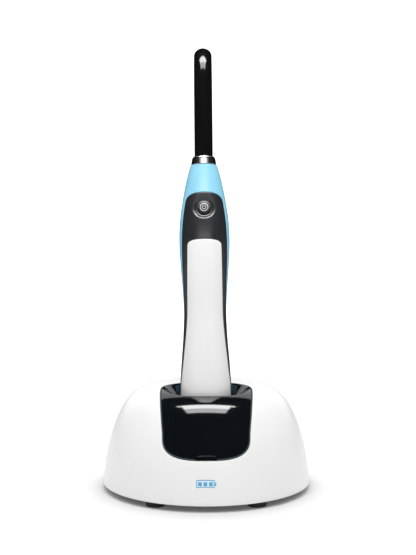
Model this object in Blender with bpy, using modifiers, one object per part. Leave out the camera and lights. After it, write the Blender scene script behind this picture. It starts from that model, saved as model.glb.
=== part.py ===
"""Cordless dental curing light standing in its round charging base.

Frame: metres, +Z up. The origin is on the table, under the centre of the round base. The front of the
base and the power button face -Y. The handpiece stands in a cup near the front of the base, its lower
end upright, and curves back towards the nose, where the light guide plugs in.
"""
import math
from collections import Counter

import bmesh
import bpy
from mathutils import Matrix, Vector
from mathutils.geometry import delaunay_2d_cdt

MM = 0.001
GAP = 0.3 * MM

# Charging base. The profile is (radius, height) from the top centre down the outside.
DOME_PROFILE = [(0.0, 62.6), (20.0, 62.4), (33.0, 61.4), (40.6, 58.9), (46.8, 54.0), (51.6, 46.8),
                (56.4, 35.4), (59.7, 23.0), (61.4, 12.0), (62.5, 3.6)]
SHELL_WALL = 2.4 * MM
FOOT_HEIGHT = 3.6 * MM
FOOT_RADIUS = 5.4 * MM
FOOT_PLACES = [(side_x * 28.3 * MM, side_y * 47.0 * MM) for side_y in (-1, 1) for side_x in (-1, 1)]
PLATE_RADIUS = 59.3 * MM
PLATE_THICKNESS = 2.0 * MM
PLATE_BOTTOM = FOOT_HEIGHT + GAP
PLATE_TOP = PLATE_BOTTOM + PLATE_THICKNESS
SCREW_PLACES = [(-40 * MM, -30 * MM), (40 * MM, -30 * MM), (-33 * MM, 33 * MM), (33 * MM, 33 * MM)]
POST_RADIUS = 3.6 * MM
SHANK_RADIUS = 1.5 * MM
SCREW_HEAD_RADIUS = 2.8 * MM
SCREW_LENGTH = 12 * MM
INLET_HEIGHT = 18.5 * MM
INLET_HOLE_RADIUS = 5.5 * MM
JACK_FACE_Y = 55.5 * MM

# The handpiece stands on this line, leaning a little to the left, and the cradle is built around it.
HAND_X, HAND_Y = 0.35 * MM, -21.0 * MM
HAND_LEAN = math.radians(-0.55)
SQUARENESS = 2.3

# Cradle: the dark insert, flush with the dome, with the cup that holds the handpiece.
CRADLE_HALF_WIDTH = 26.7 * MM
CRADLE_BACK = 19.3 * MM
CRADLE_BOTTOM = 27.5 * MM
CRADLE_CORNER_Z = 40.1 * MM
CRADLE_CORNER_HALF_WIDTH = 24.5 * MM
WINDOW_HALF_WIDTH = 4.8 * MM
WINDOW_TOP = 29.5 * MM
CUP_WALL = 2.0 * MM
CUP_FLOOR = 14.3 * MM
CUP_UNDERSIDE = 11.9 * MM
# (height, half width, half depth) of the space inside the cup, in millimetres.
CUP_SPACE = [(14.3, 14.4, 13.4), (36.0, 15.9, 14.7), (50.0, 17.9, 15.8), (57.0, 20.8, 16.8),
             (60.0, 23.3, 17.3), (62.0, 25.0, 18.0)]

# Handpiece stations, in millimetres along its centre line, from the table up.
HALF_WIDTH = [(14.0, 13.4), (30.0, 14.3), (58.0, 15.0), (68.0, 14.7), (78.0, 14.0), (92.0, 12.9),
              (106.0, 12.4), (120.0, 13.1), (134.0, 14.1), (148.0, 14.75), (160.0, 14.2),
              (172.0, 12.5), (183.0, 10.35), (191.9, 7.95)]
HALF_DEPTH = [(14.0, 12.5), (30.0, 13.2), (58.0, 14.0), (78.0, 13.2), (92.0, 12.5), (106.0, 12.2),
              (120.0, 12.9), (134.0, 13.8), (148.0, 14.4), (158.0, 13.7), (166.0, 12.3),
              (174.0, 10.8), (184.0, 9.4), (191.9, 7.8)]
# Parting lines, as the angle in degrees round from the front.
GRIP_EDGE = [(16.0, 76.0), (58.0, 74.0), (66.0, 71.0), (75.0, 65.6), (85.0, 62.2), (99.0, 56.4),
             (113.0, 51.8), (131.0, 45.1), (150.0, 39.5)]
PANEL_EDGE = [(16.0, 97.0), (58.0, 96.0), (78.0, 94.0), (92.0, 90.0), (99.0, 85.0), (106.0, 79.0),
              (113.0, 73.5), (120.0, 69.8), (134.0, 64.3), (148.0, 60.3), (160.0, 59.0),
              (172.0, 58.0), (180.0, 56.0)]
SHELL_BOTTOM = 17.0 * MM
CAP_BOTTOM = 14.6 * MM
NOSE_END = 191.9 * MM
BEND_START = 60.0 * MM
NOSE_LEAN = math.radians(5.0)
BEND = math.tan(NOSE_LEAN) / (2 * (NOSE_END - BEND_START))
CASE_WALL = 1.2 * MM
GRIP_TOP, GRIP_CORNER = 148.1 * MM, 3.6 * MM
PANEL_TOP, PANEL_CORNER = 175.1 * MM, 6.0 * MM
FLAT_RADIUS = 12.8 * MM

BUTTON_STATION = 166.4 * MM
BUTTON_RADIUS = 4.0 * MM
BUTTON_SINK = 0.8 * MM
DISH_FLOOR_RADIUS, DISH_RADIUS = 4.6 * MM, 6.8 * MM
DISH_DEPTH = 1.4 * MM

# Light guide, measured along the nose's axis from the end of the blue shell.
GUIDE_RADIUS = 5.4 * MM
GUIDE_TIP_RADIUS = 5.35 * MM
JACKET_WALL = 0.9 * MM
GUIDE_STRAIGHT_END = 46.2 * MM
GUIDE_BEND_RADIUS = 33.0 * MM
GUIDE_BEND_ANGLE = math.radians(42.0)
GUIDE_TIP_LENGTH = 1.0 * MM
COLLAR_HEIGHT = 5.3 * MM
STUB_LENGTH = 12.0 * MM

BOARD_STATION = 126.0 * MM
BOARD_LEAN = math.radians(3.4)
CONTACT_X = 6.0 * MM
CELL_RADIUS, CELL_LENGTH, CELL_BOTTOM = 9.0 * MM, 65.0 * MM, 25.0 * MM

parts = bpy.data.collections.new("curing_light")
helpers = bpy.data.collections.new("cutters")


# --- small tools -------------------------------------------------------------------------------------

def clear_scene():
    for obj in list(bpy.data.objects):
        bpy.data.objects.remove(obj)
    for collection in (parts, helpers):
        bpy.context.scene.collection.children.link(collection)


def material(name, colour, roughness, metallic=0.0):
    made = bpy.data.materials.new(name)
    made.use_nodes = True
    shader = made.node_tree.nodes["Principled BSDF"]
    shader.inputs["Base Color"].default_value = (*colour, 1.0)
    shader.inputs["Roughness"].default_value = roughness
    shader.inputs["Metallic"].default_value = metallic
    made.diffuse_color = (*colour, 1.0)
    return made


def place(name, data, finish, parent=None, location=(0, 0, 0), rotation=(0, 0, 0)):
    """Adds a part, or a cutter where finish is None."""
    obj = bpy.data.objects.new(name, data)
    (parts if finish else helpers).objects.link(obj)
    obj.parent = parent
    obj.location = location
    obj.rotation_euler = rotation
    if finish:
        data.materials.append(finish)
    else:
        obj.hide_render = True
        obj.display_type = "WIRE"
    return obj


def axis_empty(name, parent, location, rotation=(0, 0, 0)):
    empty = bpy.data.objects.new(name, None)
    empty.empty_display_size = 5 * MM
    parts.objects.link(empty)
    empty.parent = parent
    empty.location = location
    empty.rotation_euler = rotation
    return empty


def mesh_of(name, build):
    """A mesh made by build(bm)."""
    mesh = bpy.data.meshes.new(name)
    bm = bmesh.new()
    build(bm)
    bm.to_mesh(mesh)
    bm.free()
    return mesh


def bevelled(obj, width, segments=2):
    if width:
        bevel = obj.modifiers.new("edges", "BEVEL")
        bevel.width = width
        bevel.segments = segments
        bevel.limit_method = "ANGLE"
    return obj


def box(name, size, finish, parent=None, location=(0, 0, 0), rotation=(0, 0, 0), edge=0.0):
    scale = Matrix.Diagonal((*size, 1.0))
    mesh = mesh_of(name, lambda bm: bmesh.ops.create_cube(bm, size=1.0, matrix=scale))
    return bevelled(place(name, mesh, finish, parent, location, rotation), edge)


def cylinder(name, radius, length, finish, parent=None, location=(0, 0, 0), rotation=(0, 0, 0),
             top_radius=None, sides=24):
    def build(bm):
        bmesh.ops.create_cone(bm, cap_ends=True, segments=sides, radius1=radius, depth=length,
                              radius2=radius if top_radius is None else top_radius)
    return place(name, mesh_of(name, build), finish, parent, location, rotation)


def turned(name, profile, finish, parent=None, location=(0, 0, 0), rotation=(0, 0, 0), closed=False,
           steps=32):
    """Turns (radius, height) points about Z. They run down the outer side; closed makes a ring."""
    mesh = bpy.data.meshes.new(name)
    edges = [(i, i + 1) for i in range(len(profile) - 1)]
    if closed:
        edges.append((len(profile) - 1, 0))
    mesh.from_pydata([(r, 0.0, z) for r, z in profile], edges, [])
    obj = place(name, mesh, finish, parent, location, rotation)
    screw = obj.modifiers.new("turn", "SCREW")
    screw.steps = screw.render_steps = steps
    screw.use_merge_vertices = True
    screw.merge_threshold = 0.00001
    return obj


def prism(name, outline, low, high, axis, finish=None, parent=None):
    """Extrudes a closed outline. Along Z the outline is (x, y); along Y it is (x, z)."""
    def build(bm):
        if axis == "Z":
            ends = [[Vector((x, y, h)) for x, y in outline] for h in (low, high)]
        else:
            ends = [[Vector((x, h, z)) for x, z in outline] for h in (low, high)]
        face = bm.faces.new([bm.verts.new(p) for p in ends[0]])
        made = bmesh.ops.extrude_face_region(bm, geom=[face])
        moved = [v for v in made["geom"] if isinstance(v, bmesh.types.BMVert)]
        bmesh.ops.translate(bm, vec=ends[1][0] - ends[0][0], verts=moved)
        bmesh.ops.recalc_face_normals(bm, faces=bm.faces)
    return place(name, mesh_of(name, build), finish, parent)


def loft(name, rings, finish=None, parent=None):
    """Skins a stack of level rings of equal counts, from the lowest up, and caps both ends."""
    def build(bm):
        made = [[bm.verts.new(p) for p in ring] for ring in rings]
        count = len(rings[0])
        for low, high in zip(made, made[1:]):
            for i in range(count):
                j = (i + 1) % count
                bm.faces.new((low[i], low[j], high[j], high[i]))
        bm.faces.new(made[0][::-1])
        bm.faces.new(made[-1])
        bmesh.ops.recalc_face_normals(bm, faces=bm.faces)
    return place(name, mesh_of(name, build), finish, parent)


def combine(obj, other, operation):
    modifier = obj.modifiers.new(other.name, "BOOLEAN")
    modifier.operation = operation
    modifier.object = other
    return obj


def tube(name, points, radius, finish, parent=None, resolution=2):
    curve = bpy.data.curves.new(name, "CURVE")
    curve.dimensions = "3D"
    curve.bevel_depth = radius
    curve.bevel_resolution = resolution
    curve.use_fill_caps = True
    spline = curve.splines.new("POLY")
    spline.points.add(len(points) - 1)
    for point, co in zip(spline.points, points):
        point.co = (*co, 1.0)
    return place(name, curve, finish, parent)


def through(stations, at):
    """A smooth value at one place, from stations of (place, value)."""
    places = [p for p, _ in stations]
    at = min(max(at, places[0]), places[-1])
    i = max(k for k in range(len(places) - 1) if places[k] <= at)

    def slope(k):
        low, high = max(k - 1, 0), min(k + 1, len(stations) - 1)
        return (stations[high][1] - stations[low][1]) / (places[high] - places[low])

    span = places[i + 1] - places[i]
    t = (at - places[i]) / span
    return (stations[i][1] * (2 * t**3 - 3 * t**2 + 1) + span * slope(i) * (t**3 - 2 * t**2 + t)
            + stations[i + 1][1] * (3 * t**2 - 2 * t**3) + span * slope(i + 1) * (t**3 - t**2))


def corner_arc(steps, power):
    """(across, along) of a quarter superellipse from (1, 0) to (0, 1)."""
    angles = [i / steps * math.pi / 2 for i in range(steps + 1)]
    return [(math.cos(a) ** (2 / power), math.sin(a) ** (2 / power)) for a in angles]


def oval(half_width, half_depth, height, count=36, centre_y=HAND_Y):
    """One level ring with the handpiece's squarish oval section."""
    ring = []
    for i in range(count):
        angle = 2 * math.pi * i / count
        reach = oval_reach(angle, half_width, half_depth)
        ring.append(Vector((reach * math.sin(angle), centre_y - reach * math.cos(angle), height)))
    return ring


def oval_reach(angle, half_width, half_depth):
    across = abs(math.sin(angle)) / half_width
    deep = abs(math.cos(angle)) / half_depth
    return (across**SQUARENESS + deep**SQUARENESS) ** (-1 / SQUARENESS)


# --- finishes ----------------------------------------------------------------------------------------

WHITE = material("white_shell", (0.86, 0.86, 0.85), 0.32)
SMOKE = material("smoked_insert", (0.012, 0.016, 0.020), 0.06)
RUBBER = material("rubber", (0.02, 0.02, 0.02), 0.75)
PLATE = material("base_plate", (0.09, 0.09, 0.10), 0.55)
STEEL = material("steel", (0.62, 0.62, 0.63), 0.28, 1.0)
GOLD = material("contact_gold", (0.86, 0.64, 0.28), 0.25, 1.0)
BOARD = material("circuit_board", (0.03, 0.20, 0.10), 0.45)
CHIP = material("component", (0.03, 0.03, 0.035), 0.5)
BLUE = material("blue_shell", (0.20, 0.62, 0.86), 0.35)
GREY = material("grey_panel", (0.05, 0.05, 0.055), 0.48)
GRIP = material("grip_white", (0.84, 0.84, 0.83), 0.30)
CELL = material("battery_wrap", (0.10, 0.16, 0.35), 0.35)
FRAME = material("chassis", (0.55, 0.56, 0.57), 0.5)
ALUMINIUM = material("aluminium", (0.72, 0.73, 0.75), 0.35, 1.0)
CHROME = material("polished_steel", (0.75, 0.75, 0.76), 0.12, 1.0)
GLASS = material("glass", (0.85, 0.90, 0.88), 0.05)
BLACK = material("guide_black", (0.008, 0.008, 0.009), 0.08)
EMITTER = material("led_die", (0.90, 0.82, 0.30), 0.4)


# --- charging base -----------------------------------------------------------------------------------

def dome_lines():
    """The dome's outer profile, and the inner one a wall's thickness inside it."""
    outer = [Vector((r * MM, z * MM)) for r, z in DOME_PROFILE]
    inner = []
    for i in (0, 2, 4, 5, 6, 7, 9):
        point = outer[i]
        along = outer[min(i + 1, len(outer) - 1)] - outer[max(i - 1, 0)]
        inward = Vector((along.y, -along.x)).normalized()
        inner.append(point + SHELL_WALL * inward)
    inner[0].x = 0.0
    return outer, inner


def cradle_plan(grow):
    """Seen from above: straight sides from the front, closed by half an oval at the back."""
    half_width, back = CRADLE_HALF_WIDTH + grow, CRADLE_BACK + grow
    outline = [(half_width, -80 * MM)]
    steps = 20
    for i in range(steps + 1):
        angle = math.pi / 2 + math.pi * i / steps
        reach = oval_reach(angle, half_width, back)
        outline.append((reach * math.sin(angle), HAND_Y - reach * math.cos(angle)))
    outline.append((-half_width, -80 * MM))
    return outline


def cradle_elevation(grow):
    """Seen from the front: a U with rounded lower corners."""
    half_width = CRADLE_CORNER_HALF_WIDTH + grow
    drop = CRADLE_CORNER_Z - CRADLE_BOTTOM + grow
    right = [(half_width * across, CRADLE_CORNER_Z - drop * along) for across, along in corner_arc(8, 3.25)]
    right.insert(0, (CRADLE_HALF_WIDTH + grow, 60 * MM))
    right.insert(0, (CRADLE_HALF_WIDTH + grow, 80 * MM))
    left = [(-x, z) for x, z in reversed(right[:-1])]
    return right + left


def cup_rings(wall):
    """Level rings of the cup's inside, or of its outside where wall is given."""
    rings = []
    for height, half_width, half_depth in CUP_SPACE:
        rings.append(oval(min(half_width * MM + wall, CRADLE_HALF_WIDTH - GAP),
                          min(half_depth * MM + wall, CRADLE_BACK - GAP), height * MM))
    below = CUP_UNDERSIDE if wall else CUP_FLOOR
    for point in rings[0]:
        point.z = below
    above = [Vector((p.x, p.y, 75 * MM)) for p in rings[-1]]
    return rings + [above]


def dome_solid(name, line, bottom):
    profile = [(p.x, p.y) for p in line]
    profile += [(profile[-1][0], bottom), (0.0, bottom)] if bottom < profile[-1][1] else [(0.0, bottom)]
    return turned(name, profile, None, steps=40)


def build_base_shell(outer, inner):
    """The white dome: an open shell with screw posts inside, cut for the cradle and the inlet."""
    profile = [(p.x, p.y) for p in outer] + [(0.0, FOOT_HEIGHT)]
    shell = turned("base_shell", profile, WHITE, steps=40)
    hollow = dome_solid("base_hollow", inner, -2 * MM)
    for number, (x, y) in enumerate(SCREW_PLACES, 1):
        post = cylinder(f"post_{number}", POST_RADIUS, 60 * MM, None, sides=16,
                        location=(x, y, PLATE_TOP + GAP + 30 * MM))
        combine(hollow, post, "DIFFERENCE")
    combine(shell, hollow, "DIFFERENCE")
    opening = prism("cradle_opening", cradle_plan(GAP), 0.0, 80 * MM, "Z")
    combine(opening, prism("cradle_opening_front", cradle_elevation(GAP), -90 * MM, 10 * MM, "Y"), "INTERSECT")
    combine(shell, opening, "DIFFERENCE")
    inlet = cylinder("inlet_hole", INLET_HOLE_RADIUS, 20 * MM, None, sides=24,
                     location=(0, 60 * MM, INLET_HEIGHT), rotation=(math.pi / 2, 0, 0))
    combine(shell, inlet, "DIFFERENCE")
    for number, (x, y) in enumerate(SCREW_PLACES, 1):
        pilot = cylinder(f"pilot_{number}", SHANK_RADIUS + GAP, SCREW_LENGTH + 2 * MM, None, sides=12,
                         location=(x, y, PLATE_TOP + SCREW_LENGTH / 2))
        combine(shell, pilot, "DIFFERENCE")


def build_cradle(outer, inner):
    """The dark insert: a skin flush with the dome, joined to the cup, with two holes for the pins."""
    cradle = prism("cradle", cradle_plan(0.0), 5 * MM, 80 * MM, "Z", SMOKE)
    combine(cradle, prism("cradle_front", cradle_elevation(0.0), -90 * MM, 10 * MM, "Y"), "INTERSECT")
    combine(cradle, dome_solid("skin_inside", inner, -2 * MM), "DIFFERENCE")
    combine(cradle, loft("cup_outside", cup_rings(CUP_WALL)), "UNION")
    combine(cradle, dome_solid("skin_outside", outer, 0.0), "INTERSECT")
    combine(cradle, loft("cup_inside", cup_rings(0.0)), "DIFFERENCE")
    notch = box("window_notch", (2 * (WINDOW_HALF_WIDTH + GAP), 20 * MM, 10 * MM), None,
                location=(0, -58 * MM, WINDOW_TOP + GAP - 5 * MM))
    combine(cradle, notch, "DIFFERENCE")
    for side, x in (("left", -CONTACT_X), ("right", CONTACT_X)):
        hole = cylinder(f"pin_hole_{side}", 1.5 * MM, 10 * MM, None, sides=16,
                        location=(x, HAND_Y, CUP_FLOOR - 1 * MM))
        combine(cradle, hole, "DIFFERENCE")


def build_status_window(outer, inner):
    """A small window flush with the insert at its lower edge, in front of the status light pipe."""
    window = box("status_window", (2 * WINDOW_HALF_WIDTH, 14 * MM, WINDOW_TOP - CRADLE_BOTTOM), SMOKE,
                 location=(0, -56 * MM, 0.5 * (WINDOW_TOP + CRADLE_BOTTOM)))
    combine(window, dome_solid("window_outside", outer, 0.0), "INTERSECT")
    combine(window, dome_solid("window_inside", inner, -2 * MM), "DIFFERENCE")


def build_base_plate():
    plate = turned("base_plate", [(0, PLATE_TOP), (PLATE_RADIUS, PLATE_TOP), (PLATE_RADIUS, PLATE_BOTTOM),
                                  (0, PLATE_BOTTOM)], PLATE, steps=40)
    for number, (x, y) in enumerate(SCREW_PLACES, 1):
        sink = turned(f"countersink_{number}", screw_profile(1.4 * GAP, 10 * MM), None, steps=12,
                      location=(x, y, PLATE_BOTTOM))
        combine(plate, sink, "DIFFERENCE")
    for number, (x, y) in enumerate(FOOT_PLACES, 1):
        socket = cylinder(f"foot_socket_{number}", 2.5 * MM, 10 * MM, None, sides=16,
                          location=(x, y, PLATE_BOTTOM))
        combine(plate, socket, "DIFFERENCE")


def screw_profile(grow, length):
    """Countersunk screw standing on its head. As a cutter it is grown, and runs past both faces."""
    below = -1 * MM if grow else 0.2 * MM
    return [(0, length), (SHANK_RADIUS + grow, length), (SHANK_RADIUS + grow, 1.7 * MM),
            (SCREW_HEAD_RADIUS + grow, 0.4 * MM), (SCREW_HEAD_RADIUS + grow, below), (0, below)]


def build_base_fasteners():
    for number, (x, y) in enumerate(SCREW_PLACES, 1):
        screw = turned(f"base_screw_{number}", screw_profile(0.0, SCREW_LENGTH), STEEL, steps=16,
                       location=(x, y, PLATE_BOTTOM))
        slot = box(f"drive_{number}", (3.6 * MM, 0.8 * MM, 1.4 * MM), None, location=(x, y, PLATE_BOTTOM))
        combine(screw, slot, "DIFFERENCE")
    for corner, (x, y) in zip(("front_left", "front_right", "rear_left", "rear_right"), FOOT_PLACES):
        turned(f"foot_{corner}", [(0, PLATE_TOP + 1 * MM), (2.2 * MM, PLATE_TOP + 1 * MM),
                                  (2.2 * MM, FOOT_HEIGHT - GAP), (FOOT_RADIUS, FOOT_HEIGHT - GAP),
                                  (FOOT_RADIUS, 0.7 * MM), (FOOT_RADIUS - 0.7 * MM, 0), (0, 0)],
               RUBBER, location=(x, y, 0), steps=20)


def build_base_electronics():
    box("ballast_plate", (54 * MM, 30 * MM, 4.5 * MM), STEEL, location=(0, 18 * MM, PLATE_TOP + 2.6 * MM),
        edge=1 * MM)
    board_top = 13.5 * MM
    box("charger_board", (44 * MM, 42 * MM, 1.5 * MM), BOARD, location=(0, 30 * MM, board_top - 0.75 * MM))
    jack = box("power_jack", (10 * MM, 13 * MM, 11 * MM), CHIP, edge=0.4 * MM,
               location=(0, JACK_FACE_Y - 6.5 * MM, board_top + 0.3 * MM + 5.5 * MM))
    throat = turned("jack_throat", [(3.1 * MM, 10 * MM), (3.1 * MM, -10 * MM), (1.0 * MM, -10 * MM),
                                    (1.0 * MM, 10 * MM)], None, closed=True, steps=24,
                    location=(0, JACK_FACE_Y, INLET_HEIGHT), rotation=(math.pi / 2, 0, 0))
    combine(jack, throat, "DIFFERENCE")
    box("charger_chip", (7 * MM, 7 * MM, 1.2 * MM), CHIP, location=(-12 * MM, 24 * MM, board_top + 0.9 * MM))
    cylinder("smoothing_capacitor", 4 * MM, 11 * MM, ALUMINIUM, location=(13 * MM, 34 * MM, board_top + 5.8 * MM))
    box("charger_inductor", (9 * MM, 9 * MM, 5 * MM), CHIP, location=(-12 * MM, 38 * MM, board_top + 2.8 * MM),
        edge=1 * MM)
    box("status_board", (16 * MM, 1.2 * MM, 9 * MM), BOARD, location=(0, -51.0 * MM, 26 * MM))
    box("status_light_pipe", (9 * MM, 2.6 * MM, 2.4 * MM), GLASS, location=(0, -53.3 * MM, 28.2 * MM),
        edge=0.4 * MM)
    tube("charge_lead", [Vector(p) * MM for p in [(0, -14.6, 9.2), (0, -10, 9.4), (-3, -5, 11.0),
                                                  (-8, 0, 14.5), (-11, 5, 17.5), (-12, 10, 18.2),
                                                  (-12, 14.5, 16.8), (-12, 16.5, 14.9)]],
         0.8 * MM, RUBBER)


def build_contacts():
    """Two sprung pins in a block under the cup, standing on the contact board."""
    block = box("contact_block", (20 * MM, 8 * MM, 4.3 * MM), CHIP, location=(0, HAND_Y, 9.45 * MM))
    box("contact_board", (26 * MM, 12 * MM, 0.8 * MM), BOARD, location=(0, HAND_Y, 6.6 * MM))
    for side, x in (("left", -CONTACT_X), ("right", CONTACT_X)):
        bore = cylinder(f"pin_bore_{side}", 1.9 * MM, 10 * MM, None, sides=16, location=(x, HAND_Y, 9 * MM))
        combine(block, bore, "DIFFERENCE")
        top = CUP_FLOOR + 1.4 * MM
        turned(f"contact_pin_{side}", [(0, 0), (0.7 * MM, -0.15 * MM), (1.2 * MM, -0.7 * MM),
                                       (1.2 * MM, 11.5 * MM - top), (1.6 * MM, 11.5 * MM - top),
                                       (1.6 * MM, 10.4 * MM - top), (0, 10.4 * MM - top)],
               GOLD, location=(x, HAND_Y, top), steps=12)
        turns, per_turn, height, low = 4, 8, 2.3 * MM, 7.5 * MM
        coil = []
        for i in range(turns * per_turn + 1):
            angle = 2 * math.pi * i / per_turn
            coil.append((x + 1.25 * MM * math.cos(angle), HAND_Y + 1.25 * MM * math.sin(angle),
                         low + height * i / (turns * per_turn)))
        tube(f"contact_spring_{side}", coil, 0.14 * MM, STEEL, resolution=0)


# --- handpiece case ----------------------------------------------------------------------------------

def lean_at(station):
    return math.atan(2 * BEND * max(station - BEND_START, 0.0))


def centre_at(station):
    return Vector((0, BEND * max(station - BEND_START, 0.0) ** 2, station))


def case_point(angle, station, inset=0.0):
    """A point on the case: angle round from the front, station along the centre line."""
    half_width = through(HALF_WIDTH, station / MM) * MM - inset
    half_depth = through(HALF_DEPTH, station / MM) * MM - inset
    reach = oval_reach(angle, half_width, half_depth)
    lean = lean_at(station)
    back = Vector((0, math.cos(lean), -math.sin(lean)))
    return centre_at(station) + Vector((reach * math.sin(angle), 0, 0)) - reach * math.cos(angle) * back


def case_normal(angle, station):
    step = 0.5 * MM
    across = case_point(angle + 0.02, station) - case_point(angle - 0.02, station)
    along = case_point(angle, station + step) - case_point(angle, station - step)
    return across.cross(along).normalized()


def dish_depth(angle, station):
    """How far the thumb dish round the button sinks below the case."""
    away = math.hypot(angle * FLAT_RADIUS, station - BUTTON_STATION)
    rise = min(max((away - DISH_FLOOR_RADIUS) / (DISH_RADIUS - DISH_FLOOR_RADIUS), 0.0), 1.0)
    return DISH_DEPTH * (1 - rise * rise * (3 - 2 * rise))


def case_edge(stations, top, corner, spread, step):
    """One side of a panel, as (angle, station), from the bottom up to the middle of its arched top."""
    straight_end = top - corner
    count = round((straight_end - SHELL_BOTTOM) / step)
    edge = []
    for i in range(count):
        station = SHELL_BOTTOM + (straight_end - SHELL_BOTTOM) * i / count
        edge.append((math.radians(through(stations, station / MM)) + spread, station))
    for across, along in corner_arc(7, 2.5):
        station = straight_end + (corner + spread * FLAT_RADIUS) * along
        edge.append((across * (math.radians(through(stations, station / MM)) + spread), station))
    return edge


def mirrored_outline(edge):
    """Up the left side, over the top and down the right side."""
    return [(-a, s) for a, s in edge] + edge[-2::-1]


def inside(point, outline):
    """Whether a flat point lies inside a closed outline."""
    odd = False
    for a, b in zip(outline, outline[1:] + outline[:1]):
        if (a[1] > point[1]) != (b[1] > point[1]):
            if point[0] < a[0] + (b[0] - a[0]) * (point[1] - a[1]) / (b[1] - a[1]):
                odd = not odd
    return odd


def distance_to(point, outline):
    nearest = math.inf
    for a, b in zip(outline, outline[1:] + outline[:1]):
        run = Vector(b) - Vector(a)
        t = max(0.0, min(1.0, (Vector(point) - Vector(a)).dot(run) / run.length_squared))
        nearest = min(nearest, (Vector(a) + run * t - Vector(point)).length)
    return nearest


def case_panel(name, outline, finish, parent, across=4.2, along=7.0, rings=()):
    """Meshes a flat outline of (angle, station), lays it on the case and gives it the case's wall."""
    def flat(point):
        return (point[0] * FLAT_RADIUS / MM, point[1] / MM)

    edge = [flat(p) for p in outline]
    extra = [flat(p) for ring in rings for p in ring]
    low_x, high_x = min(p[0] for p in edge), max(p[0] for p in edge)
    low_y, high_y = min(p[1] for p in edge), max(p[1] for p in edge)
    for i in range(1, round((high_x - low_x) / across)):
        for j in range(1, round((high_y - low_y) / along)):
            point = (low_x + (high_x - low_x) * i / round((high_x - low_x) / across),
                     low_y + (high_y - low_y) * j / round((high_y - low_y) / along))
            clear = distance_to(point, edge) > 0.35 * across
            if clear and all(math.dist(point, p) > 0.5 * across for p in extra):
                extra.append(point)
    points = edge + [p for p in extra if inside(p, edge)]
    sides = [(i, (i + 1) % len(edge)) for i in range(len(edge))]
    found, _, faces = delaunay_2d_cdt([Vector(p) for p in points], sides, [], 0, 0.0001, False)[:3]
    kept = [face for face in faces if inside(sum((found[i] for i in face), Vector((0, 0))) / len(face), edge)]

    def build(bm):
        skins = [], []
        for co in found:
            angle, station = co.x * MM / FLAT_RADIUS, co.y * MM
            point, normal = case_point(angle, station), case_normal(angle, station)
            sunk = dish_depth(angle, station)
            for skin, depth in zip(skins, (sunk, sunk + CASE_WALL)):
                skin.append(bm.verts.new(point - depth * normal))
        sides = Counter(frozenset(side) for face in kept for side in zip(face, face[1:] + face[:1]))
        for face in kept:
            bm.faces.new([skins[0][i] for i in face])
            bm.faces.new([skins[1][i] for i in reversed(face)])
            for a, b in zip(face, face[1:] + face[:1]):
                on_seam = all(abs(found[i].x) * MM > 3.14 * FLAT_RADIUS for i in (a, b))
                if sides[frozenset((a, b))] == 1 and not on_seam:
                    bm.faces.new((skins[0][b], skins[0][a], skins[1][a], skins[1][b]))
        loose = [v for v in bm.verts if not v.link_faces]
        bmesh.ops.delete(bm, geom=loose, context="VERTS")
        bmesh.ops.remove_doubles(bm, verts=bm.verts, dist=0.01 * MM)
        bmesh.ops.recalc_face_normals(bm, faces=bm.faces)

    return place(name, mesh_of(name, build), finish, parent)


def circle_on_case(radius, count):
    """A circle round the button, as (angle, station)."""
    turns = [2 * math.pi * i / count for i in range(count)]
    return [(radius * math.cos(t) / FLAT_RADIUS, BUTTON_STATION + radius * math.sin(t)) for t in turns]


def between(first, last, count, station):
    """Evenly spaced points across a level edge, without its ends."""
    return [(first + (last - first) * i / count, station) for i in range(1, count)]


def build_case(hand):
    half_gap = 0.5 * GAP / FLAT_RADIUS
    step = 7 * MM
    grip = case_edge(GRIP_EDGE, GRIP_TOP, GRIP_CORNER, -half_gap, step)
    grip_seat = case_edge(GRIP_EDGE, GRIP_TOP, GRIP_CORNER, half_gap, step)
    panel = case_edge(PANEL_EDGE, PANEL_TOP, PANEL_CORNER, -half_gap, step)
    panel_seat = case_edge(PANEL_EDGE, PANEL_TOP, PANEL_CORNER, half_gap, step)
    foot = {name: edge[0][0] for name, edge in (("grip", grip), ("grip_seat", grip_seat),
                                                ("panel", panel), ("panel_seat", panel_seat))}

    outline = mirrored_outline(grip) + between(foot["grip"], -foot["grip"], 10, SHELL_BOTTOM)
    case_panel("grip_cover", outline, GRIP, hand)

    outline = mirrored_outline(panel) + between(foot["panel"], foot["grip_seat"], 3, SHELL_BOTTOM)
    outline += mirrored_outline(grip_seat)[::-1]
    outline += between(-foot["grip_seat"], -foot["panel"], 3, SHELL_BOTTOM)
    front = case_panel("front_panel", outline, GREY, hand, across=3.2, along=5.0,
                       rings=[circle_on_case(radius * MM, 18) for radius in (2.5, 4.6, 5.7, 6.8, 7.6)])
    hole = cylinder("button_hole", BUTTON_RADIUS + GAP, 12 * MM, None, button_frame(hand, "hole_axis"))
    combine(front, hole, "DIFFERENCE")

    rows = round((NOSE_END - SHELL_BOTTOM) / step)
    back_line = [SHELL_BOTTOM + (NOSE_END - SHELL_BOTTOM) * i / rows for i in range(rows + 1)]
    outline = mirrored_outline(panel_seat) + between(foot["panel_seat"], math.pi, 5, SHELL_BOTTOM)
    outline += [(math.pi, s) for s in back_line]
    outline += between(math.pi, -math.pi, 24, NOSE_END)
    outline += [(-math.pi, s) for s in reversed(back_line)]
    outline += between(-math.pi, -foot["panel_seat"], 5, SHELL_BOTTOM)
    case_panel("body_shell", outline, BLUE, hand)


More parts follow.
